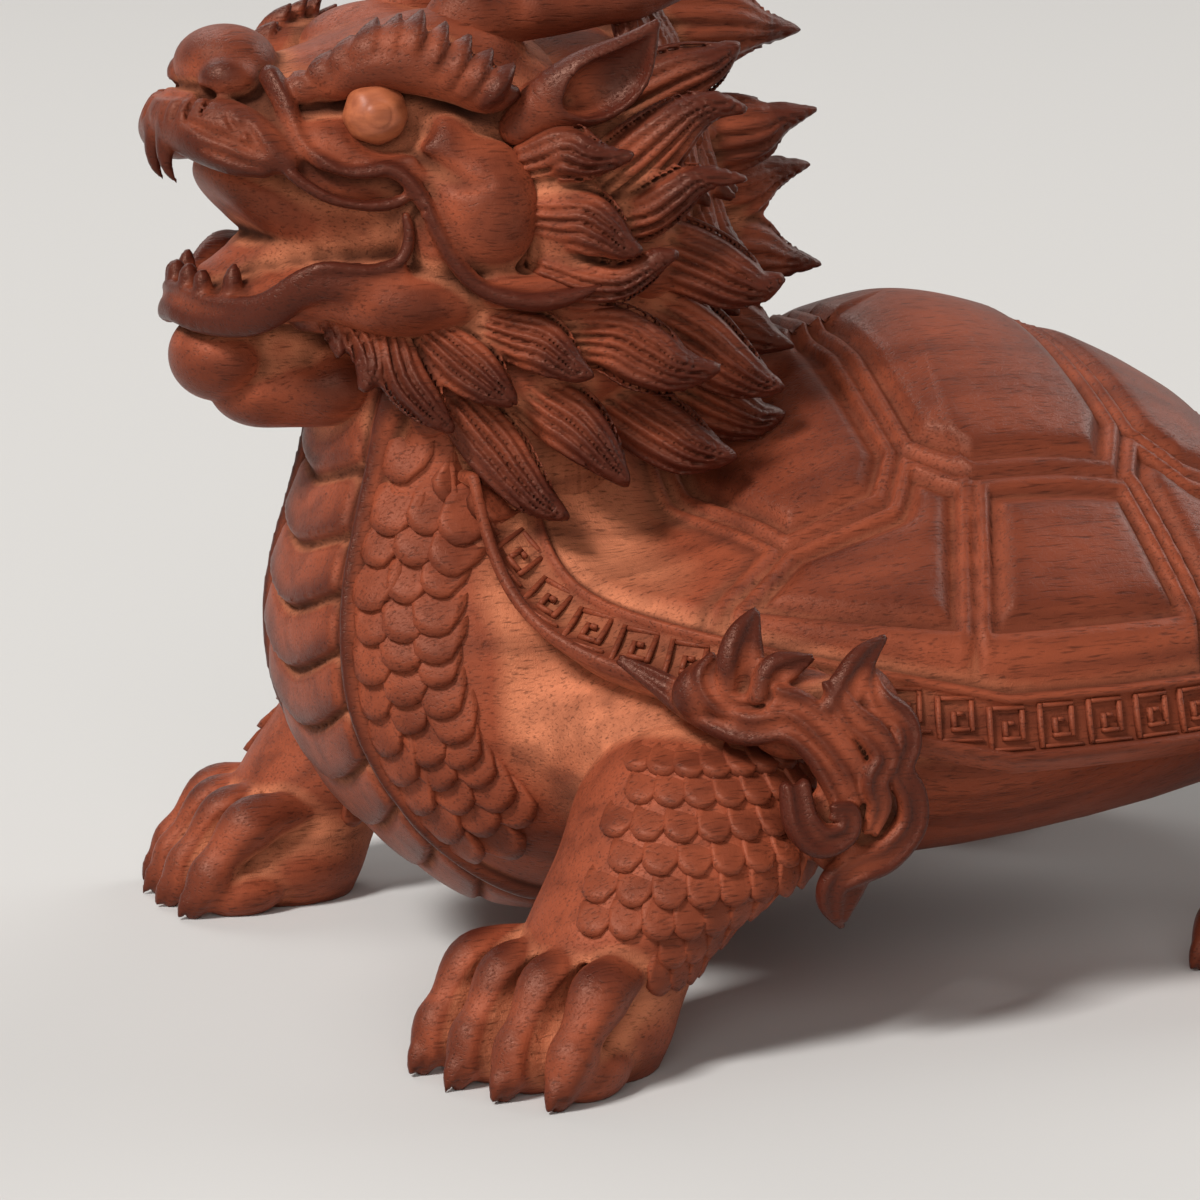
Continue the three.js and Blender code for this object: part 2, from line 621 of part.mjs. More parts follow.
// Flame scrolls that lick back from the rim over each thigh.
function flameBlank(side, angle, grow = 0) {
  const [forward, left, up] = rimPoint(THREE.MathUtils.degToRad(angle));
  const beside = (ahead, out, above, ...sizes) => [forward + ahead, side * (left + out), up + above, ...sizes];
  const strand = (stations) => sweep(stations, { sides: 7, grow, flat: LEFT });
  return join([
    egg(beside(-5, 3, -2.5), [3.8, 2.2, 5.5], { grow }),
    strand([
      beside(14, -2, -1, 1.2, 1.2),
      beside(7, 2, 2.5, 3.2, 2.2),
      beside(-1, 3.4, 0, 3.6, 2.4),
      beside(-6, 3.2, -8, 3, 2.2),
      beside(-6.5, 2, -16, 0.4, 0.4),
    ]),
    strand([beside(6, 2, 2.5, 2.6, 2), beside(4.5, 2, 7, 2, 1.6), beside(3, 0.6, 10.5, 0.4, 0.4)]),
    strand([beside(0, 3, 1, 2.8, 2.2), beside(-6, 3.2, 3.5, 2.4, 2), beside(-9.5, 2, 9, 0.4, 0.4)]),
    strand([
      beside(-5, 3.2, 3, 2.2, 2),
      beside(-9.5, 3.4, -3, 2.4, 2),
      beside(-8.5, 3.2, -12, 2.2, 2),
      beside(-6, 2.6, -16, 1.6, 1.4),
    ]),
  ]);
}

// Tail: a plume that curls up against the back of the shell.
function tailBlank(grow = 0) {
  const shellEnd = SHELL_CENTRE - SHELL_HALF_LENGTH;
  const root = shellEnd + 8;
  const end = shellEnd - TAIL_OVERHANG;
  const plume = (out, reach, top) =>
    sweep(
      [
        [root, out * 0.3, BELLY_HEIGHT - 1, 4, 4],
        [end + 6 + reach, out * 0.7, BELLY_HEIGHT + 3, 4, 4.4],
        [end + 3.2 + reach, out, (BELLY_HEIGHT + top) / 2 + 2, 3, 3],
        [end + 6 + reach, out * 1.1, top, 0.4, 0.4],
      ],
      { sides: 7, grow, flat: LEFT },
    );
  return join([plume(0, 0, TAIL_HEIGHT), plume(6, 2, TAIL_HEIGHT - 7), plume(-6, 2, TAIL_HEIGHT - 7)]);
}

// Dowels and their bores.
const DOWELS = {
  neck_dowel: [at(NECK_FORWARD, 0, NECK_TOP - NECK_DOWEL.length / 2), UP, NECK_DOWEL],
  front_shell_dowel: [at(SHELL_CENTRE + 16, 0, BELLY_HEIGHT + BELLY_HALF_DEPTH - SHELL_DOWEL.length / 2), UP, SHELL_DOWEL],
  rear_shell_dowel: [at(SHELL_CENTRE - 20, 0, BELLY_HEIGHT + BELLY_HALF_DEPTH - 2 - SHELL_DOWEL.length / 2), UP, SHELL_DOWEL],
  tail_dowel: [
    at(SHELL_CENTRE - SHELL_HALF_LENGTH + 8 + TAIL_DOWEL.length / 2, 0, BELLY_HEIGHT + 1),
    FORWARD.clone().negate(),
    TAIL_DOWEL,
  ],
};
for (const [name, leg] of Object.entries(LEGS)) {
  const side = Math.sign(leg.left);
  const start = at(leg.forward - leg.setback, side * (FOOT_LEFT - LEG_DOWEL.length + 4), HIP_HEIGHT - 2);
  DOWELS[name.replace("_leg", "_leg_dowel")] = [start, LEFT.clone().multiplyScalar(side), LEG_DOWEL];
}
for (const [name, side] of [["left", 1], ["right", -1]]) {
  const base = at(...face(0, side * 7.8, 34 - ANTLER_DOWEL.length / 2));
  DOWELS["antler_dowel_" + name] = [base, UP, ANTLER_DOWEL];
}
const bores = Object.values(DOWELS).map(([from, direction, kind]) => dowel(from, direction, kind, DOWEL_CLEARANCE));

// Every blank is cut back from the pieces that are glued on before it, and bored for its dowels.
const figure = new THREE.Group();
function add(name, solid, material) {
  const mesh = new THREE.Mesh(geometryOf(solid), material);
  mesh.name = name;
  figure.add(mesh);
}

const fitted = [];
function fit(name, blank, material = WOOD) {
  const piece = withoutChips(cut(blank(0), belowGround, ...fitted, ...bores));
  add(name, piece, material);
  fitted.push(blank(GLUE_LINE));
}

const SIDES = [["left", 1], ["right", -1]];
fit("trunk", trunkBlank);
fit("carapace", (grow) => (grow ? carapaceBlank(SCUTE_RELIEF + grow) : scutedCarapace()));
for (const [name, side] of SIDES) fit("eye_" + name, (grow) => eyeBall(side, grow), EYE_WOOD);
fit("head", (grow) => (grow ? headBlank(grow) : cut(headBlank(), gape())));
for (const [name, side] of SIDES) fit("antler_" + name, (grow) => antlerBlank(side, grow));
for (const [name, side] of SIDES) fit("ear_" + name, (grow) => (grow ? earBlank(side, grow) : cut(earBlank(side), earHollow(side))));
fit("mane_crest", crestBlank);
for (const [name, side] of SIDES) fit("mane_" + name, (grow) => maneBlank(side, grow));
for (const [name, side] of SIDES) fit("beard_" + name, (grow) => beardBlank(side, grow));
for (const [name, side] of SIDES) fit("ruff_" + name, (grow) => ruffBlank(side, grow));
for (const [name, leg] of Object.entries(LEGS)) fit(name, (grow) => legBlank(leg, grow));
for (const [name, side] of SIDES) {
  fit("front_flame_" + name, (grow) => flameBlank(side, FRONT_FLAME_ANGLE, grow));
  fit("rear_flame_" + name, (grow) => flameBlank(side, REAR_FLAME_ANGLE, grow));
}
fit("tail", tailBlank);
for (const [name, [from, direction, kind]] of Object.entries(DOWELS)) add(name, dowel(from, direction, kind), DOWEL_WOOD);

export default figure;
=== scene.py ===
"""Looks of a carved rosewood dragon turtle: a maned dragon head on a scaled turtle body.

Each carved piece is worked as a block of wood on a fine grid of signed distances: forms are added,
grooves are cut, and the finished surface is drawn off as a mesh. Scales and fret keys that repeat
are set by Geometry Nodes. Carving measures are millimetres, written (forward, left, up) as a
carver reads the figure; meshes are metres in the part's own frame.
"""

import logging
import math
from dataclasses import dataclass
from enum import Enum
from typing import Callable, Sequence

import bpy
import numpy as np
from bpy.types import ID, Material, Mesh, Node, NodeSocket, NodeTree, Object, Scene
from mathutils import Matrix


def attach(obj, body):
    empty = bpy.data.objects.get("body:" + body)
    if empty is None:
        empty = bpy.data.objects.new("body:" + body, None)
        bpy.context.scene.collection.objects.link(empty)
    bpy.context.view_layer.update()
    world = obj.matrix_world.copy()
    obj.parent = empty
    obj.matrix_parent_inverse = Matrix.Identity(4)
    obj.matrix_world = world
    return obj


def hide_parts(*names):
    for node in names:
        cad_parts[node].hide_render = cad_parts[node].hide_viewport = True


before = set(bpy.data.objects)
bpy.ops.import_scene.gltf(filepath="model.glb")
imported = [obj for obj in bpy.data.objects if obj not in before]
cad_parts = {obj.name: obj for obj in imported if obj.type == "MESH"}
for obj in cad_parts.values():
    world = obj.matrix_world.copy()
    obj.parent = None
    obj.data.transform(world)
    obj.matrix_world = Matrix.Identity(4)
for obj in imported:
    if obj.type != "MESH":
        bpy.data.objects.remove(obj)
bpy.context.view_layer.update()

log = logging.getLogger("dragon_turtle")

Point = tuple[float, float, float]
Stations = Sequence[Sequence[float]]
Array = np.ndarray
Field = Callable[[Array, Array, Array], Array]
Touch = Callable[[Array, Array], Array]
MM = 0.001
FAR = 6.0
SIDEWAYS: Point = (0, 1, 0)
UPWARDS: Point = (0, 0, 1)
MIRROR: Point = (1, -1, 1)


class Side(Enum):
    """Which side of the figure a piece belongs to, as the sign of its left coordinate."""

    LEFT = 1.0
    RIGHT = -1.0

    @property
    def word(self) -> str:
        """The side's name in node names."""
        return self.name.lower()


def clamp(values: Array) -> Array:
    """Returns values held between 0 and 1."""
    return np.clip(values, 0.0, 1.0)


def soft_min(a: Array, b: Array, blend: float) -> Array:
    """Joins two distance fields with a fillet.

    Args:
        a: First field.
        b: Second field.
        blend: Fillet size in millimetres.

    Returns:
        The joined field.
    """
    if blend <= 0.0:
        return np.minimum(a, b)
    mix = clamp(0.5 + 0.5 * (b - a) / blend)
    return b + (a - b) * mix - blend * mix * (1.0 - mix)


def unit(vector: Sequence[float]) -> Array:
    """Returns the vector at length one."""
    array = np.asarray(vector, dtype=float)
    return array / max(float(np.linalg.norm(array)), 1e-9)


def smooth_path(stations: Stations, steps: int) -> Array:
    """Runs a smooth curve through stations.

    Args:
        stations: Rows of position and sizes.
        steps: Samples between two stations.

    Returns:
        Sampled rows, first and last station included.
    """
    rows = np.asarray(stations, dtype=float)
    padded = np.vstack([2 * rows[0] - rows[1], rows, 2 * rows[-1] - rows[-2]])
    samples = []
    for i in range(1, len(padded) - 2):
        a, b, c, d = padded[i - 1 : i + 3]
        for t in np.arange(steps) / steps:
            bend = (2 * a - 5 * b + 4 * c - d) * t**2 + (3 * b - a - 3 * c + d) * t**3
            samples.append(0.5 * (2 * b + (c - a) * t + bend))
    samples.append(rows[-1])
    return np.asarray(samples)


class Form:
    """A solid form that knows its box and its distance field."""

    def box(self) -> tuple[Array, Array]:
        """Returns the lowest and highest corner."""
        raise NotImplementedError

    def distance(self, f: Array, l: Array, z: Array) -> Array:
        """Returns signed distances at grid points, negative inside.

        Args:
            f: Forward places.
            l: Left places.
            z: Heights.
        """
        raise NotImplementedError


@dataclass(frozen=True)
class Egg(Form):
    """An egg-shaped swelling.

    Attributes:
        centre: Its middle.
        half: Half sizes forward, left and up.
        pitch: Nose-up tilt in degrees.
        yaw: Turn towards the left in degrees.
    """

    centre: Point
    half: Point
    pitch: float = 0.0
    yaw: float = 0.0

    def box(self) -> tuple[Array, Array]:
        """Returns the lowest and highest corner."""
        reach = np.full(3, max(self.half)) if self.pitch or self.yaw else np.asarray(self.half)
        return np.asarray(self.centre) - reach, np.asarray(self.centre) + reach

    def distance(self, f: Array, l: Array, z: Array) -> Array:
        """Returns signed distances at grid points, negative inside."""
        x, y, w = f - self.centre[0], l - self.centre[1], z - self.centre[2]
        if self.yaw:
            c, s = math.cos(math.radians(self.yaw)), math.sin(math.radians(self.yaw))
            x, y = x * c + y * s, y * c - x * s
        if self.pitch:
            c, s = math.cos(math.radians(self.pitch)), math.sin(math.radians(self.pitch))
            x, w = x * c + w * s, w * c - x * s
        a, b, c = self.half
        near = np.sqrt((x / a) ** 2 + (y / b) ** 2 + (w / c) ** 2)
        slope = np.sqrt((x / a**2) ** 2 + (y / b**2) ** 2 + (w / c**2) ** 2)
        return near * (near - 1.0) / np.maximum(slope, 1e-4)


@dataclass(frozen=True)
class Column(Form):
    """An upright body of oval sections.

    Attributes:
        stations: Rows of (up, forward middle, left middle, half length, half width), from the bottom up.
        square: Power of the section: 2 is an oval, more is squarer.
    """

    stations: Stations
    square: float = 2.0

    def box(self) -> tuple[Array, Array]:
        """Returns the lowest and highest corner."""
        z, f, l, d, w = np.asarray(self.stations, dtype=float).T
        low = np.array(((f - d).min(), (l - w).min(), z[0]))
        return low, np.array(((f + d).max(), (l + w).max(), z[-1]))

    def distance(self, f: Array, l: Array, z: Array) -> Array:
        """Returns signed distances at grid points, negative inside."""
        rows = smooth_path(self.stations, 8)
        middle, side, deep, wide = (np.interp(z, rows[:, 0], rows[:, i]) for i in (1, 2, 3, 4))
        deep, wide = np.maximum(deep, 0.5), np.maximum(wide, 0.5)
        x, y = np.abs(f - middle) / deep, np.abs(l - side) / wide
        p = self.square
        near = np.maximum((x**p + y**p) ** (1.0 / p), 1e-3)
        steep = np.hypot((x / near) ** (p - 1.0) / deep, (y / near) ** (p - 1.0) / wide)
        gap = (near - 1.0) / np.maximum(steep, 1e-4)
        return np.maximum(gap, np.maximum(rows[0, 0] - z, z - rows[-1, 0]))


@dataclass(frozen=True)
class Rope(Form):
    """An oval strand through stations of (forward, left, up, half width, half depth).

    Attributes:
        stations: The path and its sizes; the depth may be left out where it equals the width.
        flat: Direction in which the strand's depth is measured.
        strands: Number of parallel strands that grooves divide it into.
        groove: Depth of those grooves.
        steps: Samples between stations.
        sharp: Roundness of its section: 2 for an oval, towards 1 for a crisp ridge.
        cap: Longest rounding of its ends.
    """

    stations: Stations
    flat: Point = SIDEWAYS
    strands: int = 0
    groove: float = 0.0
    steps: int = 3
    sharp: float = 2.0
    cap: float = 99.0

    def samples(self) -> Array:
        """Returns the sampled path with its half width and half depth."""
        rows = [tuple(s) + ((s[3],) if len(s) == 4 else ()) for s in self.stations]
        path = smooth_path(rows, self.steps)
        path[:, 3:] = np.maximum(path[:, 3:], 0.12)
        return path

    def box(self) -> tuple[Array, Array]:
        """Returns the lowest and highest corner."""
        path = self.samples()
        reach = path[:, 3:].max(axis=1, keepdims=True)
        return (path[:, :3] - reach).min(axis=0), (path[:, :3] + reach).max(axis=0)

    def distance(self, f: Array, l: Array, z: Array) -> Array:
        """Returns signed distances at grid points, negative inside."""
        path = self.samples()
        axes = (f.ravel(), l.ravel(), z.ravel())
        whole = np.full([len(axis) for axis in axes], FAR, dtype=np.float32)
        for a, b in zip(path[:-1], path[1:]):
            axis = b[:3] - a[:3]
            length = float(np.linalg.norm(axis))
            if length < 1e-6:
                continue
            reach = max(a[3:].max(), b[3:].max()) + 3.0
            low, high = np.minimum(a[:3], b[:3]) - reach, np.maximum(a[:3], b[:3]) + reach
            part = tuple(slice(*np.searchsorted(axes[i], (low[i], high[i]))) for i in range(3))
            if any(s.stop <= s.start for s in part):
                continue
            along = axis / length
            over = unit(np.asarray(self.flat) - along * float(np.dot(self.flat, along)))
            across = np.cross(along, over)
            x = f[part[0]] - a[0]
            y = l[:, part[1]] - a[1]
            w = z[:, :, part[2]] - a[2]
            run = clamp((x * along[0] + y * along[1] + w * along[2]) / length)
            x, y, w = x - run * axis[0], y - run * axis[1], w - run * axis[2]
            wide, deep = a[3] + run * (b[3] - a[3]), a[4] + run * (b[4] - a[4])
            small = np.minimum(wide, deep)
            end = np.minimum(small, self.cap)
            u = (x * across[0] + y * across[1] + w * across[2]) / wide
            v = np.abs(x * over[0] + y * over[1] + w * over[2]) / deep
            e = np.abs(x * along[0] + y * along[1] + w * along[2]) / end
            p, side = self.sharp, np.abs(u)
            near = np.maximum(side**p + v**p + e**p, 1e-6) ** (1.0 / p)
            q = 2.0 * p - 2.0
            slope = np.sqrt(side**q / wide**2 + v**q / deep**2 + e**q / end**2) * near ** (1.0 - p)
            gap = (near - 1.0) / np.maximum(slope, 0.05)
            if self.strands:
                place = 0.5 * self.strands * (np.clip(u, -1.0, 1.0) + 1.0)
                wave = np.sin(np.pi * place) ** 4 * (
                    0.35 + 0.65 * np.abs(np.sin(2.3 * np.floor(place) + 0.9))
                )
                gap = gap + self.groove * np.minimum(1.0, 0.6 * small) * wave
            np.minimum(whole[part], gap, out=whole[part], casting="unsafe")
        return whole


class Clay:
    """A block on a regular grid that forms are added to and cut from.

    Attributes:
        wide_reach: Neighbourhood in millimetres that ridges and hollows are measured against.
        narrow_reach: Neighbourhood that creases are measured against.
        ridge_height: Height at which a ridge counts as fully worn.
        crease_depth: Depth at which a crease counts as full.
    """

    wide_reach: float = 1.3
    narrow_reach: float = 0.5
    ridge_height: float = 0.5
    crease_depth: float = 0.16

    def __init__(self, low: Point, high: Point, cell: float, halved: bool = False) -> None:
        """Sets up an empty block.

        Args:
            low: Lowest corner in millimetres.
            high: Highest corner in millimetres.
            cell: Grid spacing.
            halved: True when only the left half is carved and the right mirrors it.
        """
        self.cell = cell
        self.halved = halved
        starts = (low[0], 0.0 if halved else low[1], low[2])
        self.axes = [np.arange(a, b + cell, cell, dtype=np.float32) for a, b in zip(starts, high)]
        self.field = np.full([len(a) for a in self.axes], FAR, dtype=np.float32)

    def window(self, low: Array, high: Array) -> tuple[tuple[slice, ...], tuple[Array, ...]] | None:
        """Finds the part of the grid inside a box.

        Args:
            low: Lowest corner.
            high: Highest corner.

        Returns:
            Slices and open coordinate arrays, or None when the box misses the grid.
        """
        part = tuple(slice(*np.searchsorted(axis, ends)) for axis, *ends in zip(self.axes, low, high))
        if any(span.stop <= span.start for span in part):
            return None
        return part, np.ix_(*(axis[span] for axis, span in zip(self.axes, part)))

    def add(self, form: Form, blend: float = 0.4) -> None:
        """Joins a form on with a fillet."""
        self._blend(form, blend, 2.5, 1.0)

    def cut(self, form: Form, blend: float = 0.2) -> None:
        """Cuts a form away with a rounded edge."""
        self._blend(form, blend, 1.5, -1.0)

    def _blend(self, form: Form, blend: float, margin: float, sign: float) -> None:
        """Blends a form in within a margin round it, as wood for a sign of 1 and as air for -1.

        Args:
            form: The form.
            blend: Fillet size.
            margin: Reach round the form that is worked.
            sign: 1 to add wood, -1 to cut it.
        """
        low, high = form.box()
        found = self.window(low - blend - margin, high + blend + margin)
        if found:
            part, coords = found
            near = form.distance(*coords).astype(np.float32)
            self.field[part] = sign * soft_min(sign * self.field[part], near, blend)

    def press(self, low: Point, high: Point, raise_by: Field) -> None:
        """Raises the surface inside a box by a height in millimetres.

        Args:
            low: Lowest corner of the box.
            high: Highest corner.
            raise_by: Gives the height at grid points.
        """
        found = self.window(low, high)
        if found:
            part, coords = found
            self.field[part] -= raise_by(*coords).astype(np.float32)

    def trim(self, outside: Field) -> None:
        """Cuts away all that lies where the given distance is above zero."""
        np.maximum(self.field, outside(*np.ix_(*self.axes)), out=self.field, casting="unsafe")

    def sample(self, points: Array, values: Array | None = None) -> Array:
        """Reads the field, or another grid, between grid points.

        Args:
            points: Rows of (forward, left, up).
            values: Grid to read; the distance field by default.

        Returns:
            One value per point.
        """
        grid = self.field if values is None else values
        spots = np.array(points, dtype=float)
        if self.halved:
            spots[:, 1] = np.abs(spots[:, 1])
        start = np.array([a[0] for a in self.axes])
        place = (spots - start) / self.cell
        whole = np.clip(np.floor(place).astype(int), 0, np.array(grid.shape) - 2)
        rest = clamp(place - whole)
        total = np.zeros(len(spots))
        for corner in range(8):
            bits = np.array([corner >> 2 & 1, corner >> 1 & 1, corner & 1])
            weight = np.prod(np.where(bits, rest, 1.0 - rest), axis=1)
            at = whole + bits
            total += weight * grid[at[:, 0], at[:, 1], at[:, 2]]
        return total

    def normals(self, points: Array, reach: float = 0.0) -> Array:
        """Returns outward directions at points on the surface, read over a given reach.

        Args:
            points: Rows of (forward, left, up).
            reach: How far to each side the field is read; one cell for 0.
        """
        slopes = []
        for i in range(3):
            shift = np.zeros(3)
            shift[i] = reach or self.cell
            slopes.append(self.sample(points + shift) - self.sample(points - shift))
        gradient = np.stack(slopes, axis=1)
        return gradient / np.maximum(np.linalg.norm(gradient, axis=1, keepdims=True), 1e-9)

    def hit(self, starts: Array, directions: Array, reach: float) -> tuple[Array, Array]:
        """Finds where rays that start inside come out of the surface for good.

        Args:
            starts: Ray starts inside the block.
            directions: Unit directions.
            reach: Longest run.

        Returns:
            Points on the surface, and whether each ray came out.
        """
        runs = np.arange(0.0, reach, self.cell * 0.7)
        values = np.stack([self.sample(starts + directions * run) for run in runs])
        inside = values < 0.0
        last = np.where(inside.any(axis=0), len(runs) - 1 - np.argmax(inside[::-1], axis=0), 0)
        good = inside.any(axis=0) & (last < len(runs) - 1)
        after = np.minimum(last + 1, len(runs) - 1)
        column = np.arange(len(starts))
        a, b = values[last, column], values[after, column]
        share = np.where(good, a / np.where(np.abs(a - b) < 1e-9, 1e-9, a - b), 0.0)
        run = runs[last] + share * (runs[1] - runs[0])
        return starts + directions * run[:, None], good

    def on_side(self, path: Stations, sink: float = 0.0) -> list[tuple[float, ...]]:
        """Lays a path on the left side of the block.

        Args:
            path: Rows of forward, up and sizes.
            sink: How far below the surface the path lies.

        Returns:
            Rows of forward, left, up and sizes.
        """
        rows = np.asarray(path, dtype=float)
        starts = np.stack([rows[:, 0], np.zeros(len(rows)), rows[:, 1]], axis=1)
        spots, _ = self.hit(starts, np.tile(SIDEWAYS, (len(rows), 1)), float(self.axes[1][-1]))
        return [(row[0], spot[1] - sink, row[1], *row[2:]) for row, spot in zip(rows, spots)]

    def _whole(self) -> tuple[Array, Array]:
        """Returns the field over both sides and its lowest corner."""
        start = np.array([a[0] for a in self.axes], dtype=float)
        if not self.halved:
            return self.field, start
        start[1] = -float(self.axes[1][-1])
        return np.concatenate([self.field[:, :0:-1], self.field], axis=1), start

    def skin(self) -> tuple[Array, Array, Array]:
        """Draws off the surface.

        Returns:
            Points in millimetres, quads, and wear: in its first column above zero on ridges and below
            zero in hollows, in its second column the depth of narrow creases.
        """
        grid, start = self._whole()
        inside = grid < 0.0
        steps = [(i, j, k) for i in (0, 1) for j in (0, 1) for k in (0, 1)]
        count = np.zeros([n - 1 for n in grid.shape], dtype=np.int8)
        for i, j, k in steps:
            count += inside[i : i - 1 or None, j : j - 1 or None, k : k - 1 or None]
        live = np.argwhere((count > 0) & (count < 8))
        values = np.stack([grid[live[:, 0] + i, live[:, 1] + j, live[:, 2] + k] for i, j, k in steps], axis=1)
        offsets = np.array(steps, dtype=float)
        total = np.zeros((len(live), 3))
        hits = np.zeros(len(live))
        for a in range(8):
            for bit in (1, 2, 4):
                b = a | bit
                if b == a:
                    continue
                va, vb = values[:, a], values[:, b]
                cross = (va < 0) != (vb < 0)
                share = np.where(cross, va / np.where(cross, va - vb, 1.0), 0.0)
                total += cross[:, None] * (offsets[a] + share[:, None] * (offsets[b] - offsets[a]))
                hits += cross
        points = start + (live + total / hits[:, None]) * self.cell
        number = np.full(count.shape, -1, dtype=np.int64)
        number[tuple(live.T)] = np.arange(len(live))
        quads = []
        for axis in range(3):
            one, two = (axis + 1) % 3, (axis + 2) % 3
            near, far = [slice(None)] * 3, [slice(None)] * 3
            near[axis], far[axis] = slice(0, -1), slice(1, None)
            a = inside[tuple(near)]
            spots = np.argwhere(a != inside[tuple(far)])
            keep = (spots[:, one] > 0) & (spots[:, two] > 0)
            keep &= (spots[:, one] < count.shape[one]) & (spots[:, two] < count.shape[two])
            spots = spots[keep]
            outward = a[tuple(spots.T)]
            ring = []
            for back_one, back_two in ((1, 1), (0, 1), (0, 0), (1, 0)):
                cell = spots.copy()
                cell[:, one] -= back_one
                cell[:, two] -= back_two
                ring.append(number[tuple(cell.T)])
            quad = np.stack(ring, axis=1)
            quad[~outward] = quad[~outward][:, ::-1]
            quads.append(quad)
        points, faces = without_chips(points, np.concatenate(quads))
        return points, faces, evened(faces, self._wear(points))

    def _wear(self, points: Array) -> Array:
        """Measures how far each surface point stands out of a wide and of a narrow neighbourhood.

        Args:
            points: Rows of (forward, left, up).

        Returns:
            Two columns, as skin gives them.
        """
        near = np.clip(self.field, -2.0, 2.0)
        wide, narrow = (
            self.sample(points, blurred(near, max(1, round(reach / self.cell))))
            for reach in (self.wide_reach, self.narrow_reach)
        )
        ridge, crease = wide / self.ridge_height, -narrow / self.crease_depth - 0.15
        return np.stack([np.clip(ridge, -1.0, 1.0), clamp(crease)], axis=1)


def blurred(grid: Array, radius: int) -> Array:
    """Averages a grid twice along each axis over a window of the given radius in cells.

    Args:
        grid: The grid.
        radius: Cells to each side.

    Returns:
        The blurred grid.
    """
    width = 2 * radius + 1
    for axis in (0, 1, 2) * 2:
        pad = [(0, 0)] * 3
        pad[axis] = (radius + 1, radius)
        total = np.cumsum(np.pad(grid, pad, mode="edge"), axis=axis, dtype=np.float64)
        high = np.take(total, range(width, total.shape[axis]), axis=axis)
        low = np.take(total, range(0, total.shape[axis] - width), axis=axis)
        grid = ((high - low) / width).astype(np.float32)
    return grid


def without_chips(points: Array, faces: Array) -> tuple[Array, Array]:
    """Keeps the largest connected piece of a mesh.

    Args:
        points: Mesh points.
        faces: Quads of point numbers.

    Returns:
        The kept points and renumbered quads.
    """
    label = np.arange(len(points))
    pairs = np.concatenate([faces[:, [0, 1]], faces[:, [1, 2]], faces[:, [2, 3]]])
    while True:
        low = np.minimum(label[pairs[:, 0]], label[pairs[:, 1]])
        fresh = label.copy()
        np.minimum.at(fresh, pairs[:, 0], low)
        np.minimum.at(fresh, pairs[:, 1], low)
        fresh = fresh[fresh]
        if np.array_equal(fresh, label):
            break
        label = fresh
    names, sizes = np.unique(label, return_counts=True)
    kept = label == names[np.argmax(sizes)]
    number = np.cumsum(kept) - 1
    return points[kept], number[faces[kept[faces[:, 0]]]]


def evened(faces: Array, values: Array, rounds: int = 3) -> Array:
    """Averages values over neighbouring mesh points.

    Args:
        faces: Quads of point numbers.
        values: One row per point.
        rounds: How often to average.

    Returns:
        The evened rows.
    """
    shares = np.bincount(faces.ravel(), minlength=len(values))[:, None]
    for _ in range(rounds):
        middle = values[faces].mean(axis=1)
        total = np.zeros_like(values)
        for corner in range(faces.shape[1]):
            np.add.at(total, faces[:, corner], middle)
        values = total / np.maximum(shares, 1)
    return values


def turn_to_frame(vectors: Array) -> Array:
    """Turns (forward, left, up) directions into the part's frame."""
    return np.stack([vectors[:, 1], -vectors[:, 0], vectors[:, 2]], axis=1)


def to_frame(points: Array) -> Array:
    """Turns (forward, left, up) millimetres into the part's frame in metres."""
    return turn_to_frame(points) * MM


def set_wear(mesh: Mesh, wear: Array) -> None:
    """Stores the two columns of wear as the mesh attributes that the finish reads."""
    for name, column in zip(("wear", "crease"), wear.T):
        mesh.attributes.new(name, "FLOAT", "POINT").data.foreach_set("value", column.astype(np.float32))


def linked(name: str, data: ID) -> Object:
    """Makes an object of the data and links it to the scene.

    Args:
        name: Its name.
        data: Its mesh, lamp or camera.

    Returns:
        The object.
    """
    item = bpy.data.objects.new(name, data)
    bpy.context.scene.collection.objects.link(item)
    return item


def mesh_object(name: str, points: Array, faces: Array, wear: Array, material: Material) -> Object:
    """Makes a smooth mesh object from carved points.

    Args:
        name: Object name.
        points: Rows of (forward, left, up) in millimetres.
        faces: Quads or triangles of point numbers.
        wear: Ridge and hollow value and crease depth of each point.
        material: Finish.

    Returns:
        The object, linked to the scene at the origin.
    """
    mesh = bpy.data.meshes.new(name)
    corners = faces.shape[1]
    mesh.vertices.add(len(points))
    mesh.vertices.foreach_set("co", to_frame(points).astype(np.float32).ravel())
    mesh.loops.add(faces.size)
    mesh.loops.foreach_set("vertex_index", faces.astype(np.int32).ravel())
    mesh.polygons.add(len(faces))
    mesh.polygons.foreach_set("loop_start", np.arange(0, faces.size, corners, dtype=np.int32))
    mesh.polygons.foreach_set("use_smooth", np.ones(len(faces), dtype=bool))
    mesh.update(calc_edges=True)
    set_wear(mesh, wear)
    mesh.materials.append(material)
    return linked(name, mesh)


def settle(item: Object, slot: str, *nodes: str) -> Object:
    """Rides a finished piece on the figure and hides the nodes it stands for.

    Args:
        item: The piece.
        slot: Not used.
        nodes: Solid nodes that it replaces.

    Returns:
        The piece.
    """
    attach(item, "root")
    if nodes:
        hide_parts(*nodes)
    log.info("%s: %d faces", item.name, len(item.data.polygons))
    return item


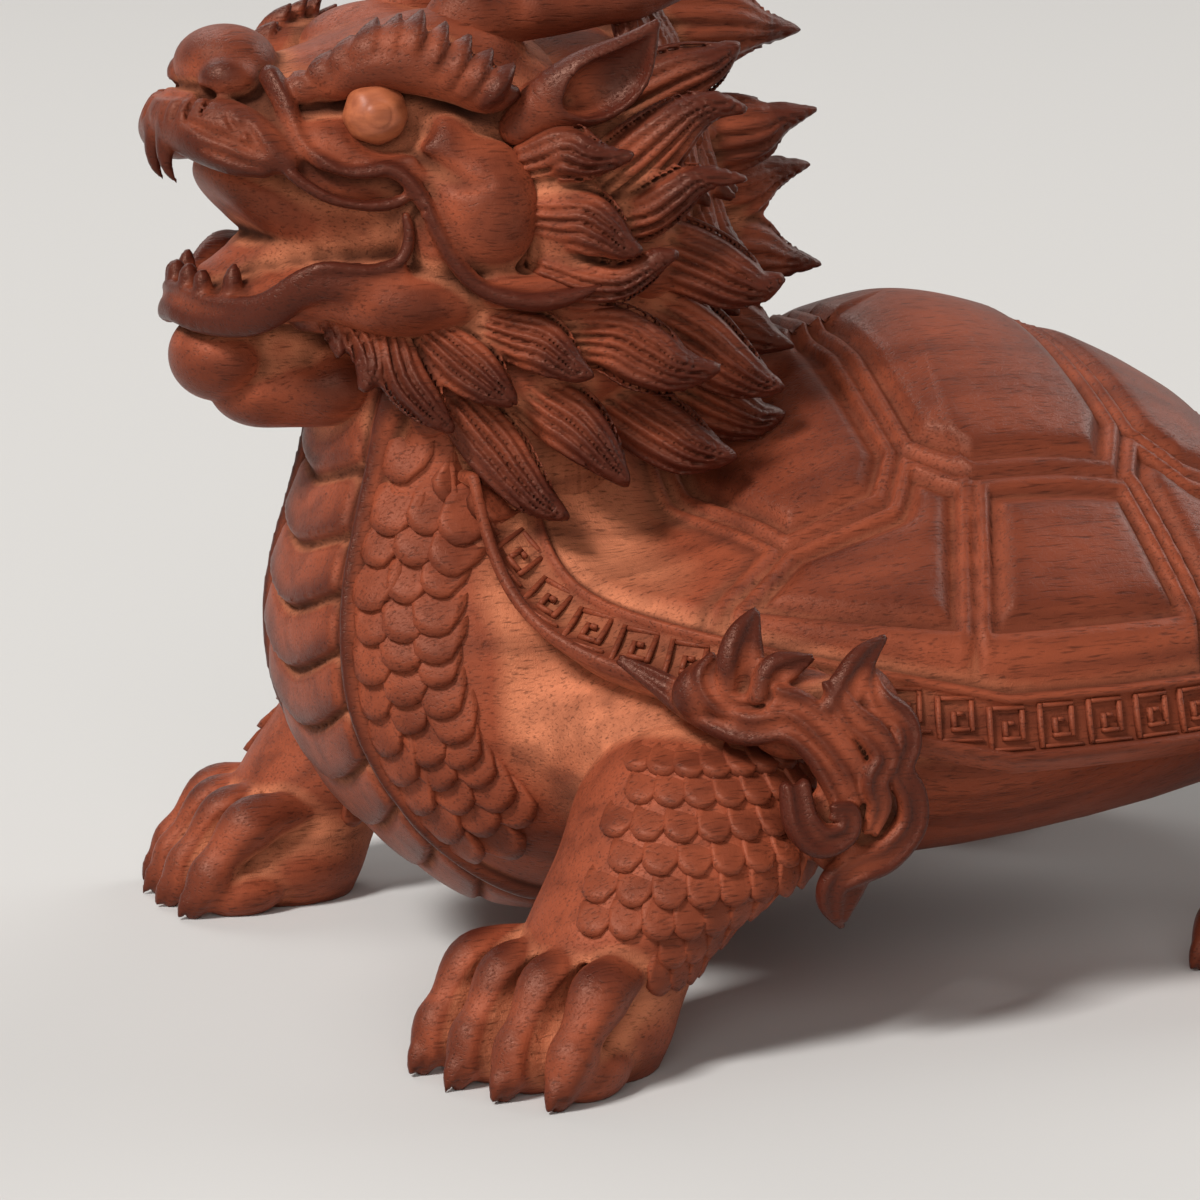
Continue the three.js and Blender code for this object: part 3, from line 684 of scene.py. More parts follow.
class Bench:
    """The carver's bench: draws pieces off their blocks and gives the whole figure its patina.

    Hands and cloth darken what stands out, while raw wood stays pale where the figure shelters it.

    Attributes:
        most_triangles: Most triangles that one piece may have.
        shelter_reach: Reach of the shelter in millimetres.
        shelter_pull: How strongly shelter shifts the wear.
        flat_shelter: Share of wood round a point on an open face.
        handled: Strength of the shift on what stands out.
        own_share: Share of a piece's own wear that stays.
    """

    most_triangles: int = 198_000
    shelter_reach: int = 2
    shelter_pull: float = 3.4
    flat_shelter: float = 0.47
    handled: float = 0.35
    own_share: float = 0.75

    def __init__(self, wood: Material) -> None:
        """Keeps the wood and an empty block as large as the figure.

        Args:
            wood: Finish of the carving.
        """
        self.wood = wood
        self.carved: list[Object] = []
        self.figure = Clay((-76, -53, -4), (77, 53, 107), 1.0)
        self.figure.field[:] = 0.0

    def carve_one(self, node: str, clay: Clay, touch: Touch | None = None, side: Side = Side.LEFT) -> None:
        """Draws a block off as the piece that replaces one node, its wear touched up where asked.

        Args:
            node: The node.
            clay: The block, carved in the middle or on the left.
            touch: Takes points and wear and returns the touched-up wear.
            side: The side that a block carved on the left is for.
        """
        points, faces, wear = clay.skin()
        self._place(node, clay, side, points, faces, touch(points, wear) if touch else wear)

    def carve_pair(self, node: str, clay: Clay) -> None:
        """Draws a left-hand block off as the left piece and, mirrored, as the right one.

        Args:
            node: Name of both nodes without the side.
            clay: The block, carved on the left.
        """
        skin = clay.skin()
        for side in Side:
            self._place(f"{node}_{side.word}", clay, side, *skin)

    def _place(self, node: str, clay: Clay, side: Side, points: Array, faces: Array, wear: Array) -> None:
        """Makes the piece on its side and notes where its wood is.

        Args:
            node: The node it replaces.
            clay: Its block.
            side: Its side.
            points: Rows of (forward, left, up).
            faces: Quads of point numbers.
            wear: Wear of each point.
        """
        if side is Side.RIGHT:
            points, faces = points * MIRROR, faces[:, ::-1]
        item = mesh_object(f"carved_{node}", points, faces, wear, self.wood)
        self._thin(item)
        self.carved.append(settle(item, "carved_wood", node))
        f, l, z = (axis.astype(float) for axis in self.figure.axes)
        l = np.abs(l) if clay.halved else l * side.value
        picks = []
        for axis, own in zip((f, l, z), clay.axes):
            spot = np.round((axis - own[0]) / clay.cell).astype(int)
            picks.append((np.flatnonzero((spot >= 0) & (spot < len(own))), spot))
        part = np.ix_(*(pick for pick, _ in picks))
        block = clay.field[np.ix_(*(spot[pick] for pick, spot in picks))]
        self.figure.field[part] = np.maximum(self.figure.field[part], clamp(0.5 - block))

    def _thin(self, item: Object) -> None:
        """Thins a piece that has more triangles than it may, first where it is smooth.

        Args:
            item: The piece.
        """
        item.data.calc_loop_triangles()
        share = self.most_triangles / len(item.data.loop_triangles)
        if share < 1.0:
            item.modifiers.new("thin", "DECIMATE").ratio = share
            graph = bpy.context.evaluated_depsgraph_get()
            thinned = bpy.data.meshes.new_from_object(item.evaluated_get(graph))
            item.modifiers.clear()
            item.data = thinned

    def add_shell(self, item: Object, outside: Field) -> None:
        """Notes a piece whose wood lies where the given distance is below zero.

        Args:
            item: The piece.
            outside: Gives the distance at grid points.
        """
        self.carved.append(item)
        block = outside(*np.ix_(*self.figure.axes))
        np.maximum(self.figure.field, clamp(0.5 - block), out=self.figure.field, casting="unsafe")

    def patinate(self) -> None:
        """Shifts each piece's wear by how far the figure round it shelters it."""
        near = blurred(self.figure.field, self.shelter_reach)
        for item in self.carved:
            count = len(item.data.vertices)
            spots = np.empty(count * 3, dtype=np.float32)
            item.data.vertices.foreach_get("co", spots)
            x, y, z = spots.reshape(-1, 3).T / MM
            shelter = self.figure.sample(np.stack([-y, x, z], axis=1), near)
            values = np.empty(count, dtype=np.float32)
            item.data.attributes["wear"].data.foreach_get("value", values)
            bare = self.shelter_pull * (self.flat_shelter - shelter)
            bare = np.where(bare > 0.0, self.handled * bare, bare)
            values = np.clip(self.own_share * values + bare, -1.0, 1.0)
            item.data.attributes["wear"].data.foreach_set("value", values.astype(np.float32))


def linear(code: str) -> tuple[float, float, float, float]:
    """Turns an sRGB hex colour into linear values."""
    parts = [int(code[i : i + 2], 16) / 255.0 for i in (1, 3, 5)]
    return tuple(p / 12.92 if p <= 0.04045 else ((p + 0.055) / 1.055) ** 2.4 for p in parts) + (1.0,)


def per_metre(millimetres: float) -> float:
    """Returns the texture scale whose features have about the given size."""
    return 1.0 / (millimetres * MM)


def node(tree: NodeTree, kind: str, settings: dict | None = None, **inputs: object) -> Node:
    """Adds a node with its settings and links.

    Args:
        tree: Node tree.
        kind: Node type name.
        settings: Properties of the node.
        inputs: Values, sockets or nodes, for their first output, by input name with underscores for
            spaces, or by number as i0, i1.

    Returns:
        The node.
    """
    made = tree.nodes.new(kind)
    for key, value in (settings or {}).items():
        setattr(made, key, value)
    for key, value in inputs.items():
        socket = made.inputs[int(key[1:]) if key[1:].isdigit() else key.replace("_", " ")]
        if isinstance(value, Node):
            value = value.outputs[0]
        if isinstance(value, NodeSocket):
            tree.links.new(value, socket)
        else:
            socket.default_value = value
    return made


def maths(tree: NodeTree, operation: str, *values: object) -> Node:
    """Adds a math node whose inputs take the given values, sockets or nodes in turn."""
    inputs = {f"i{number}": value for number, value in enumerate(values)}
    return node(tree, "ShaderNodeMath", {"operation": operation}, **inputs)


def ramp(tree: NodeTree, fac: Node, stops: Sequence[tuple[float, str]]) -> Node:
    """Runs a value through colour stops given as (place, hex).

    Args:
        tree: Node tree.
        fac: Value from 0 to 1.
        stops: Places and colours.

    Returns:
        The node, whose first output is the colour.
    """
    made = node(tree, "ShaderNodeValToRGB", Fac=fac)
    elements = made.color_ramp.elements
    while len(elements) < len(stops):
        elements.new(0.5)
    for element, (place, code) in zip(elements, stops):
        element.position = place
        element.color = linear(code)
    return made


def new_material(name: str) -> tuple[Material, NodeTree]:
    """Returns a new material and its empty node tree.

    Args:
        name: Its name.
    """
    material = bpy.data.materials.new(name)
    material.use_nodes = True
    material.node_tree.nodes.clear()
    return material, material.node_tree


@dataclass(frozen=True)
class CarvedWood:
    """Oiled, hand-carved rosewood.

    Polished ridges go dark and sheeny, untouched hollows stay pale and matt, short dark pores and
    fibre streaks run along the figure's length, and narrow creases are darkened with painted shade
    and old wax.

    Attributes:
        name: Material name.
        mottle: Size of the blotches in its tone in millimetres.
        ring: Width of the growth rings in millimetres.
        ring_run: Their length.
        scratch: Size of chisel scratches in millimetres.
        facet: Size of knife facets in millimetres.
        hollow: Colour of raw wood in the hollows.
        body: Colour of the open surface.
        ridge: Colour of polished ridges.
        streak: Colour of pores and dark fibres, and of the painted shade in creases.
        pore: Pore width in millimetres, drawn coarser than real so that it shows.
        fibre: Fibre length in millimetres.
        skew: Turn of the grain away from the figure's length, in radians.
        gloss: Roughness of the open surface.
        sheen: Strength of its reflections.
        glint: Their colour, warm as it comes through the oil.
        grime: How far the creases are darkened: painted shade, together with old wax.
    """

    name: str = "oiled_rosewood"
    mottle: float = 7.0
    ring: float = 3.2
    ring_run: float = 60.0
    scratch: float = 0.5
    facet: float = 2.4
    hollow: str = "#bf7250"
    body: str = "#8b432b"
    ridge: str = "#491e14"
    streak: str = "#260d08"
    pore: float = 0.22
    fibre: float = 2.6
    skew: Point = (0.06, 0, 0.04)
    gloss: float = 0.4
    sheen: float = 0.42
    glint: str = "#f0bfa8"
    grime: float = 0.85

    def make(self) -> Material:
        """Builds the material.

        Returns:
            The material.
        """
        material, tree = new_material(self.name)
        place = node(tree, "ShaderNodeTexCoord").outputs["Object"]
        wear, crease = (
            node(tree, "ShaderNodeAttribute", {"attribute_name": name}).outputs["Fac"]
            for name in ("wear", "crease")
        )
        mottle = node(
            tree, "ShaderNodeTexNoise", Vector=place, Scale=per_metre(self.mottle), Detail=4.0,
            Roughness=0.6,
        )
        shifted = maths(tree, "MULTIPLY_ADD", mottle, 0.4, -0.2)
        level = maths(tree, "ADD", wear, shifted)
        spread = node(tree, "ShaderNodeMapRange", Value=level, From_Min=-1.0, From_Max=1.0)
        stops = [
            (0.0, self.hollow), (0.14, self.hollow), (0.42, self.body), (0.6, self.body), (0.9, self.ridge)
        ]
        rings = self._stretched(tree, place, self.ring, self.ring_run)
        rings = node(tree, "ShaderNodeTexNoise", Vector=rings, Scale=1.0, Detail=3.0, Distortion=0.4)
        band = node(tree, "ShaderNodeMapRange", Value=rings, From_Min=0.42, From_Max=0.68, To_Max=0.55)
        fibres = self._stretched(tree, place, self.pore, self.fibre)
        fibres = node(tree, "ShaderNodeTexNoise", Vector=fibres, Scale=1.0, Detail=2.0, Roughness=0.55)
        dark = node(tree, "ShaderNodeMapRange", Value=fibres, From_Min=0.53, From_Max=0.73, To_Max=0.62)
        # Creases are mixed towards the dark fibre colour: painted shade in narrow grooves, together with old
        # wax kept there.
        painted_shade_and_wax = maths(tree, "MULTIPLY", crease, self.grime)
        colour = ramp(tree, spread, stops)
        for share, over in ((band, self.ridge), (dark, self.streak), (painted_shade_and_wax, self.streak)):
            mix = node(tree, "ShaderNodeMix", {"data_type": "RGBA"}, i0=share, i6=colour, i7=linear(over))
            colour = mix.outputs[2]
        scratch = node(
            tree, "ShaderNodeTexNoise", Vector=place, Scale=per_metre(self.scratch), Detail=3.0,
            Roughness=0.7, Distortion=1.5,
        )
        raw = node(
            tree, "ShaderNodeMapRange", Value=spread, From_Min=0.15, From_Max=0.5, To_Min=2.2, To_Max=0.7
        )
        chisel = maths(tree, "MULTIPLY", scratch, raw)
        pores = maths(tree, "MULTIPLY_ADD", dark, -0.8, chisel)
        uneven = node(tree, "ShaderNodeTexNoise", Vector=place, Scale=per_metre(self.facet), Detail=1.0)
        height = maths(tree, "MULTIPLY_ADD", uneven, 1.8, pores)
        bump = node(tree, "ShaderNodeBump", Strength=0.45, Distance=0.16 * MM, Height=height)
        matt = node(tree, "ShaderNodeMapRange", Value=spread, From_Min=0.25, From_Max=0.9)
        matt.inputs["To Min"].default_value = self.gloss + 0.22
        matt.inputs["To Max"].default_value = self.gloss - 0.06
        dull = maths(tree, "MULTIPLY_ADD", crease, 0.35, matt)
        dull.use_clamp = True
        shader = node(
            tree, "ShaderNodeBsdfPrincipled", Base_Color=colour, Roughness=dull, IOR=1.42,
            Specular_IOR_Level=self.sheen, Specular_Tint=linear(self.glint), Normal=bump,
        )
        node(tree, "ShaderNodeOutputMaterial", Surface=shader)
        return material

    def _stretched(self, tree: NodeTree, place: NodeSocket, across: float, along: float) -> Node:
        """Returns coordinates stretched along the figure's length, one unit to each given millimetres.

        Args:
            tree: Node tree.
            place: Coordinates in metres.
            across: Size across the grain.
            along: Size along it.
        """
        size = (per_metre(across), per_metre(along), per_metre(across))
        return node(
            tree, "ShaderNodeMapping", {"vector_type": "POINT"}, Vector=place, Scale=size,
            Rotation=self.skew,
        )


@dataclass(frozen=True)
class PlainWood:
    """Planed wood with straight grain, matt, as on eyes left unpolished and on turned dowels.

    Attributes:
        name: Material name.
        light: Early wood.
        dark: Late wood.
        grain: Grain spacing in millimetres.
        rough: Roughness.
    """

    name: str
    light: str
    dark: str
    grain: float
    rough: float

    def make(self) -> Material:
        """Builds the material.

        Returns:
            The material.
        """
        material, tree = new_material(self.name)
        place = node(tree, "ShaderNodeTexCoord").outputs["Object"]
        size = (per_metre(self.grain), per_metre(self.grain * 8), per_metre(self.grain))
        stretched = node(tree, "ShaderNodeMapping", Vector=place, Scale=size)
        grain = node(tree, "ShaderNodeTexNoise", Vector=stretched, Scale=1.0, Detail=4.0, Roughness=0.6)
        tone = ramp(tree, grain, [(0.35, self.dark), (0.62, self.light)])
        bump = node(tree, "ShaderNodeBump", Strength=0.3, Distance=0.1 * MM, Height=grain)
        shader = node(
            tree, "ShaderNodeBsdfPrincipled", Base_Color=tone, Roughness=self.rough, Specular_IOR_Level=0.3,
            Normal=bump,
        )
        node(tree, "ShaderNodeOutputMaterial", Surface=shader)
        return material


class Setter:
    """Sets one small carved shape over many places of a surface with Geometry Nodes."""

    def __init__(self, wood: Material) -> None:
        """Builds the node tree that is shared by every set of repeats, and keeps their wood.

        Args:
            wood: Finish of the repeats.
        """
        tree = bpy.data.node_groups.new("set_repeats", "GeometryNodeTree")
        for name, kind in (
            ("Places", "Geometry"), ("Shape", "Object"), ("Finish", "Material"), ("Size", "Float")
        ):
            tree.interface.new_socket(name, in_out="INPUT", socket_type=f"NodeSocket{kind}")
        tree.interface.new_socket("Repeats", in_out="OUTPUT", socket_type="NodeSocketGeometry")
        given = node(tree, "NodeGroupInput")
        read = {}
        for name in ("facing", "hanging", "girth"):
            made = node(tree, "GeometryNodeInputNamedAttribute", {"data_type": "FLOAT_VECTOR"}, Name=name)
            read[name] = made.outputs["Attribute"]
        turn = node(
            tree, "FunctionNodeAxesToRotation", {"primary_axis": "Z", "secondary_axis": "Y"},
            Primary_Axis=read["facing"], Secondary_Axis=read["hanging"],
        )
        size = node(
            tree, "ShaderNodeVectorMath", {"operation": "SCALE"}, i0=read["girth"],
            Scale=given.outputs["Size"],
        )
        shape = node(tree, "GeometryNodeObjectInfo", Object=given.outputs["Shape"], As_Instance=True)
        repeats = node(
            tree, "GeometryNodeInstanceOnPoints", Points=given.outputs["Places"],
            Instance=shape.outputs["Geometry"], Rotation=turn, Scale=size,
        )
        real = node(tree, "GeometryNodeRealizeInstances", Geometry=repeats)
        dressed = node(tree, "GeometryNodeSetMaterial", Geometry=real, Material=given.outputs["Finish"])
        node(tree, "NodeGroupOutput", i0=dressed)
        self.tree = tree
        self.wood = wood
        self.scale = fish_scale()

    def set_out(
        self, name: str, shape: Object, places: Array, facing: Array, hanging: Array, girth: Array
    ) -> None:
        """Sets the shape at every place, makes the result a plain mesh and settles it.

        Args:
            name: Name of the finished piece.
            shape: The repeated shape, one unit across, its face up and its tip towards +Y.
            places: Rows of (forward, left, up) in millimetres.
            facing: Outward directions.
            hanging: Directions of the tips.
            girth: Sizes across, along and out in millimetres.
        """
        mesh = bpy.data.meshes.new(f"{name}_places")
        mesh.from_pydata([tuple(p) for p in to_frame(places)], [], [])
        for key, rows in (
            ("facing", turn_to_frame(facing)), ("hanging", turn_to_frame(hanging)), ("girth", girth)
        ):
            mesh.attributes.new(key, "FLOAT_VECTOR", "POINT").data.foreach_set(
                "vector", rows.astype(np.float32).ravel()
            )
        holder = linked(f"{name}_places", mesh)
        modifier = holder.modifiers.new("repeats", "NODES")
        modifier.node_group = self.tree
        values = {"Shape": shape, "Finish": self.wood, "Size": MM}
        for item in self.tree.interface.items_tree:
            if item.in_out == "INPUT" and item.name in values:
                modifier[item.identifier] = values[item.name]
        graph = bpy.context.evaluated_depsgraph_get()
        made = bpy.data.meshes.new_from_object(holder.evaluated_get(graph))
        made.name = name
        holder.modifiers.clear()
        bpy.data.objects.remove(holder)
        made.polygons.foreach_set("use_smooth", np.ones(len(made.polygons), dtype=bool))
        settle(linked(name, made), "carved_wood")


def repeated_shape(name: str, points: Array, faces: Sequence[Sequence[int]], wear: Array) -> Object:
    """Makes the mesh that a setter repeats, kept out of the scene.

    Args:
        name: Mesh name.
        points: Points of the unit shape.
        faces: Point numbers of each face.
        wear: Ridge and hollow value and crease depth of each point.

    Returns:
        An object that is linked nowhere.
    """
    mesh = bpy.data.meshes.new(name)
    mesh.from_pydata([tuple(p) for p in points], [], [list(face) for face in faces])
    set_wear(mesh, wear)
    return bpy.data.objects.new(name, mesh)


def fish_scale() -> Object:
    """Returns one carved scale: a low shield, round at its tip, that sinks into the wood at its root."""
    rows, columns = 7, 7
    points, wear = [], []
    for row in range(rows):
        along = row / (rows - 1)
        for column in range(columns):
            across = 2.0 * column / (columns - 1) - 1.0
            reach = math.sqrt(max(0.0, 1.0 - abs(across) ** 2.4))
            y = -0.55 + along * (0.55 + 0.5 * reach)
            crown = (1.0 - 0.4 * across**2) * min(1.0, 0.12 + 1.1 * along)
            height = -0.75 + 1.5 * crown
            points.append((0.5 * across * (0.72 + 0.28 * min(1.0, 2.0 * along)), y, height))
            # The crease column darkens the scale towards its root, where it sinks into the wood: painted
            # shade.
            wear.append((0.1 + 0.35 * along * (1.0 - across**2), 0.3 * (1.0 - along)))
    top = len(points)
    skirt = [(rows - 1) * columns + c for c in range(columns)]
    side_left = [r * columns for r in range(rows - 1)]
    side_right = [r * columns + columns - 1 for r in range(rows - 1)]
    rim = side_left + skirt + side_right[::-1]
    for i in rim:
        x, y, _ = points[i]
        points.append((x, y, -1.3))
        # The skirt under the scale's edge is a full crease, which the finish paints dark: a painted shadow
        # under the edge.
        wear.append((0.0, 1.0))
    faces = []
    for row in range(rows - 1):
        for column in range(columns - 1):
            a = row * columns + column
            faces.append((a, a + 1, a + columns + 1, a + columns))
    for i in range(len(rim) - 1):
        faces.append((rim[i], rim[i + 1], top + i + 1, top + i))
    faces.append((*range(columns - 1, -1, -1), top, top + len(rim) - 1))
    faces.append(tuple(range(top, top + len(rim))))
    return repeated_shape("fish_scale", np.asarray(points), faces, np.asarray(wear))


def fret_key() -> Object:
    """Returns one key of the fret: a squared spiral of raised bars, one unit wide and high."""
    bars = [
        (-0.46, -0.36, -0.5, 0.5), (-0.36, 0.3, 0.4, 0.5), (0.2, 0.3, -0.28, 0.4),
        (-0.16, 0.2, -0.28, -0.18), (-0.16, -0.06, -0.18, 0.16), (-0.06, 0.08, 0.06, 0.16),
        (-0.36, 0.46, -0.5, -0.42),
    ]
    points, faces, wear = [], [], []
    bevel = 0.03
    for x0, x1, y0, y1 in bars:
        base = len(points)
        for z, inset in ((-0.6, 0.0), (0.6, 0.0), (1.0, bevel)):
            points += [
                (x0 + inset, y0 + inset, z), (x1 - inset, y0 + inset, z), (x1 - inset, y1 - inset, z),
                (x0 + inset, y1 - inset, z),
            ]
        # Crease values darken each bar towards its foot: painted shade where the bar meets the band; the top
        # counts as a rubbed ridge.
        wear += [(0.0, 0.6)] * 4 + [(0.2, 0.2)] * 4 + [(0.35, 0.0)] * 4
        for ring in (0, 4):
            for i in range(4):
                j = (i + 1) % 4
                faces.append((base + ring + i, base + ring + j, base + ring + 4 + j, base + ring + 4 + i))
        faces.append((base + 8, base + 9, base + 10, base + 11))
        faces.append((base + 3, base + 2, base + 1, base))
    return repeated_shape("fret_key", np.asarray(points), faces, np.asarray(wear))


@dataclass(frozen=True)
class Wedge(Form):
    """The open gape: all that lies between two planes that meet in a line across the mouth.

    Attributes:
        apex: Forward and up place of that line.
        rise: Upward angle of the palate in degrees.
        fall: Downward angle of the lower jaw in degrees.
        front: Forward end of the cut.
    """

    apex: tuple[float, float]
    rise: float
    fall: float
    front: float

    def box(self) -> tuple[Array, Array]:
        """Returns the lowest and highest corner."""
        reach = self.front - self.apex[0]
        low = (self.apex[0] - 1.0, -30.0, self.apex[1] - reach)
        return np.array(low), np.array((self.front, 30.0, self.apex[1] + 2.0 * reach))

    def distance(self, f: Array, l: Array, z: Array) -> Array:
        """Returns signed distances at grid points, negative inside."""
        up, down = math.radians(self.rise), math.radians(self.fall)
        x, w = f - self.apex[0], z - self.apex[1]
        above = -x * math.sin(up) + w * math.cos(up)
        below = -x * math.sin(down) - w * math.cos(down)
        return np.maximum(above, below) + 0.0 * l


@dataclass
class Head:
    """Dragon head with open jaws, carved from one block, and its two eyes."""

    cell: float = 0.33
    eye_centre: Point = (55.2, 12.7, 84.7)
    eye_half: Point = (3, 2.6, 2.8)
    eye_cell: float = 0.16
    brow_tufts: int = 9
    corner_cuts: int = 6

    def make(self, bench: Bench, eye_wood: Material) -> None:
        """Carves the head and the eyes.

        Args:
            bench: Bench that draws the pieces off.
            eye_wood: Finish of the eyes.
        """
        clay = Clay((33, 0, 51), (74.5, 24, 97), self.cell, halved=True)
        self._skull(clay)
        self._jaws(clay)
        self._gape(clay)
        self._lips(clay)
        self._nose(clay)
        self._brow(clay)
        self._cheek(clay)
        self._teeth(clay)
        bench.carve_one("head", clay)
        self._eyes(eye_wood)

    def _skull(self, clay: Clay) -> None:
        """Blocks out cranium, forehead, muzzle and cheeks.

        Args:
            clay: The block.
        """
        clay.add(Egg((46, 0, 78), (16, 15, 12.5)))
        clay.add(Egg((43.5, 0, 85.5), (12, 12.5, 6.5)), 3.0)
        clay.add(Egg((47, 7, 89.5), (8, 5.5, 4.2)), 2.0)
        muzzle = [(50, 0, 82, 12.5, 8), (58, 0, 82.4, 10.6, 6), (64, 0, 83, 8, 4), (68.5, 0, 83.8, 5.2, 2.4)]
        clay.add(Rope(muzzle, UPWARDS), 2.0)
        bridge = [(66, 0, 87.2, 4, 2), (61, 0, 86.8, 5.2, 2.4), (55, 0, 87.6, 6, 3), (48, 0, 89.5, 8, 3)]
        clay.add(Rope(bridge, UPWARDS), 2.0)
        cheekbone = [(63, 8.2, 82.3, 2.6), (59, 10.2, 81.4, 3), (54, 11.6, 81, 3.4), (49, 12.5, 80.6, 4.6)]
        clay.add(Rope(cheekbone, UPWARDS), 1.6)
        clay.add(Egg((45.6, 12.4, 76), (6.4, 7.2, 7.6)), 1.2)

    def _jaws(self, clay: Clay) -> None:
        """Blocks out the throat, the lower jaw and the chin.

        Args:
            clay: The block.
        """
        clay.add(Rope([(50, 0, 74.5, 12, 9), (58, 0, 74.5, 8.5, 7), (64, 0, 75.5, 6.5, 6)], UPWARDS), 1.5)
        clay.add(Egg((46, 0, 67), (11, 15, 7)), 2.0)
        jaw = [
            (48, 0, 67.5, 16, 6), (55, 0, 68, 14.6, 4.6), (61, 0, 68, 12.4, 3.4), (66, 0, 67.4, 8.6, 2.2),
            (69, 0, 67.4, 4.6, 1.5),
        ]
        clay.add(Rope(jaw, UPWARDS), 1.0)
        clay.add(Egg((52, 11.5, 67.6), (7, 5.4, 3.7)), 1.2)
        clay.add(Egg((56, 0, 59), (6, 7.6, 4.6)), 1.5)
        clay.add(Egg((61.5, 0, 58.4), (5.4, 4.6, 3.8)), 2.0)
        clay.cut(Rope([
            (70.8, 0, 65.7, 0.8), (69, 5, 65.8, 0.9), (66.8, 8, 66, 1), (64, 11, 66, 1),
            (60, 13.6, 66.4, 0.8),
        ], UPWARDS), 0.5)
        clay.cut(Egg((60, 11, 62.4), (3.4, 7, 2.9)), 0.8)
        clay.add(Egg((60.5, 0, 63), (6, 4.4, 4.6)), 1.0)
        clay.add(Egg((66.2, 0, 61.7), (4.6, 5, 4.3)), 0.4)

    def _gape(self, clay: Clay) -> None:
        """Opens the mouth, hollows both cheeks and lays the tongue.

        Args:
            clay: The block.
        """
        clay.cut(Wedge((62.4, 72.8), 43.0, 27.0, 76.0), 3.0)
        pocket = [
            (53.6, 17, 74.1, 1.7, 3.6), (56, 17, 73.8, 2.7, 5.6), (60, 17, 74.3, 2.9, 7.6),
            (63.5, 17, 74.4, 4.4, 9.4), (67, 17, 74, 5.6, 11), (72, 17, 75, 6.6, 12.5),
        ]
        clay.cut(Rope(pocket), 2.4)
        clay.add(Rope([(66.8, 0, 69.4, 2.6, 1), (63, 0, 70.8, 4, 1.4), (58, 0, 71.6, 6, 1.8)], UPWARDS), 0.6)

    def _lips(self, clay: Clay) -> None:
        """Rolls the upper lip, draws the long whisker ridge and edges the lower lip.

        Args:
            clay: The block.
        """
        roll = [
            (69.9, 0, 84, 2.4, 2.5), (69.3, 3.5, 83.9, 2.4, 2.5), (68, 6, 83.6, 2.5, 2.6),
            (66.4, 8, 82.9, 2.6, 2.5), (64.8, 9.8, 81.8, 2.2, 2), (63.3, 11.2, 80.6, 1.4, 1.3),
        ]
        clay.add(Rope(roll, UPWARDS, steps=4), 0.5)
        pad = [
            (70.4, 2.4, 83, 1.9, 2), (69.2, 5.8, 82.4, 2.3, 2.3), (67.2, 8.5, 81.2, 2.1, 2),
            (65.2, 10.3, 80.3, 1.4, 1.3),
        ]
        clay.add(Rope(pad, UPWARDS, steps=4), 0.8)
        bed = [
            (62.6, 11.2, 80.8, 1.3, 1.2), (60.7, 12.1, 79.3, 1.3, 1.1), (58.5, 12.9, 78.4, 1.4, 1.1),
            (56.2, 13.5, 78.2, 1.5, 1.1), (54, 14.2, 78.3, 1.2, 1),
        ]
        clay.add(Rope([(f, l - 1.2, z, w, d) for f, l, z, w, d in bed]), 0.5)
        lower_edge = [
            (63.2, 12.2, 79.5, 0.6), (61.5, 12.9, 78.2, 0.65), (59.8, 13.5, 77.3, 0.65),
            (57.8, 14.1, 76.8, 0.65), (55.7, 14.7, 76.6, 0.65), (54, 15.2, 76.9, 0.6),
            (53, 15.5, 77.6, 0.5),
        ]
        clay.add(Rope(lower_edge, steps=4, sharp=1.5), 0.35)
        ridge = [
            (63.3, 7.4, 88, 1.2), (62.7, 9.2, 85.8, 1.2), (62.3, 10.6, 83.6, 1), (61.7, 11.8, 81.8, 0.8),
            (60.2, 13.1, 80.4, 0.85), (58.5, 13.8, 79.6, 0.8), (56.5, 14.5, 79.6, 0.8),
            (54.8, 15, 79.9, 0.85), (53.4, 15.6, 79, 0.85), (52.3, 16.1, 77.5, 0.85),
            (51.5, 16.6, 75.7, 0.85), (50.7, 17, 73.9, 0.85), (49.8, 17.2, 72.1, 0.85),
            (48.3, 17.5, 70.1, 0.85), (46.6, 17.8, 68.8, 0.9), (44.5, 18.5, 68, 0.95), (42, 19, 67.6, 1),
            (39.3, 19.6, 67.9, 0.85), (36.3, 20.4, 68.9, 0.3),
        ]
        clay.add(Egg((49.5, 12.6, 73.5), (3.6, 4.4, 4.5)), 1.0)
        clay.add(
            Rope([(44.5, 15.2, 68.8, 2.2, 3), (41.5, 16.2, 68.4, 1.8, 2.6), (38.5, 16.8, 68.8, 1.4, 2.4)]),
            0.8,
        )
        clay.add(Rope(ridge, steps=5, sharp=1.4), 0.35)
        lip = [
            (53.3, 15.2, 75.6, 0.5), (53.1, 15.5, 73.6, 0.6), (53.9, 15.4, 71.6, 0.65),
            (56.1, 15.1, 70.8, 0.65), (58.4, 14.7, 70.9, 0.65), (60.8, 14.1, 71.1, 0.65),
            (62.7, 13, 70.3, 0.65), (64.3, 11.6, 68.8, 0.7), (65.8, 10, 67.8, 0.7), (67.6, 7.5, 67.4, 0.7),
            (69.3, 4.5, 67.6, 0.7), (70.1, 2, 68.1, 0.7), (70.3, 0, 68.2, 0.7),
        ]
        wall = [(f, l - 0.7, z - 1.5, 1.7, 1.1) for f, l, z, _ in lip[2:]]
        clay.add(Rope(wall), 0.7)
        clay.add(Rope(lip, steps=5, sharp=1.4), 0.35)
        channel = [
            (61.6, 12.7, 79.5, 0.4), (60, 13.5, 78.8, 0.8), (58.2, 14.2, 78.1, 0.95),
            (56.2, 14.8, 78, 0.95), (54.6, 15.3, 78.2, 0.6),
        ]
        clay.cut(Rope(channel), 0.4)
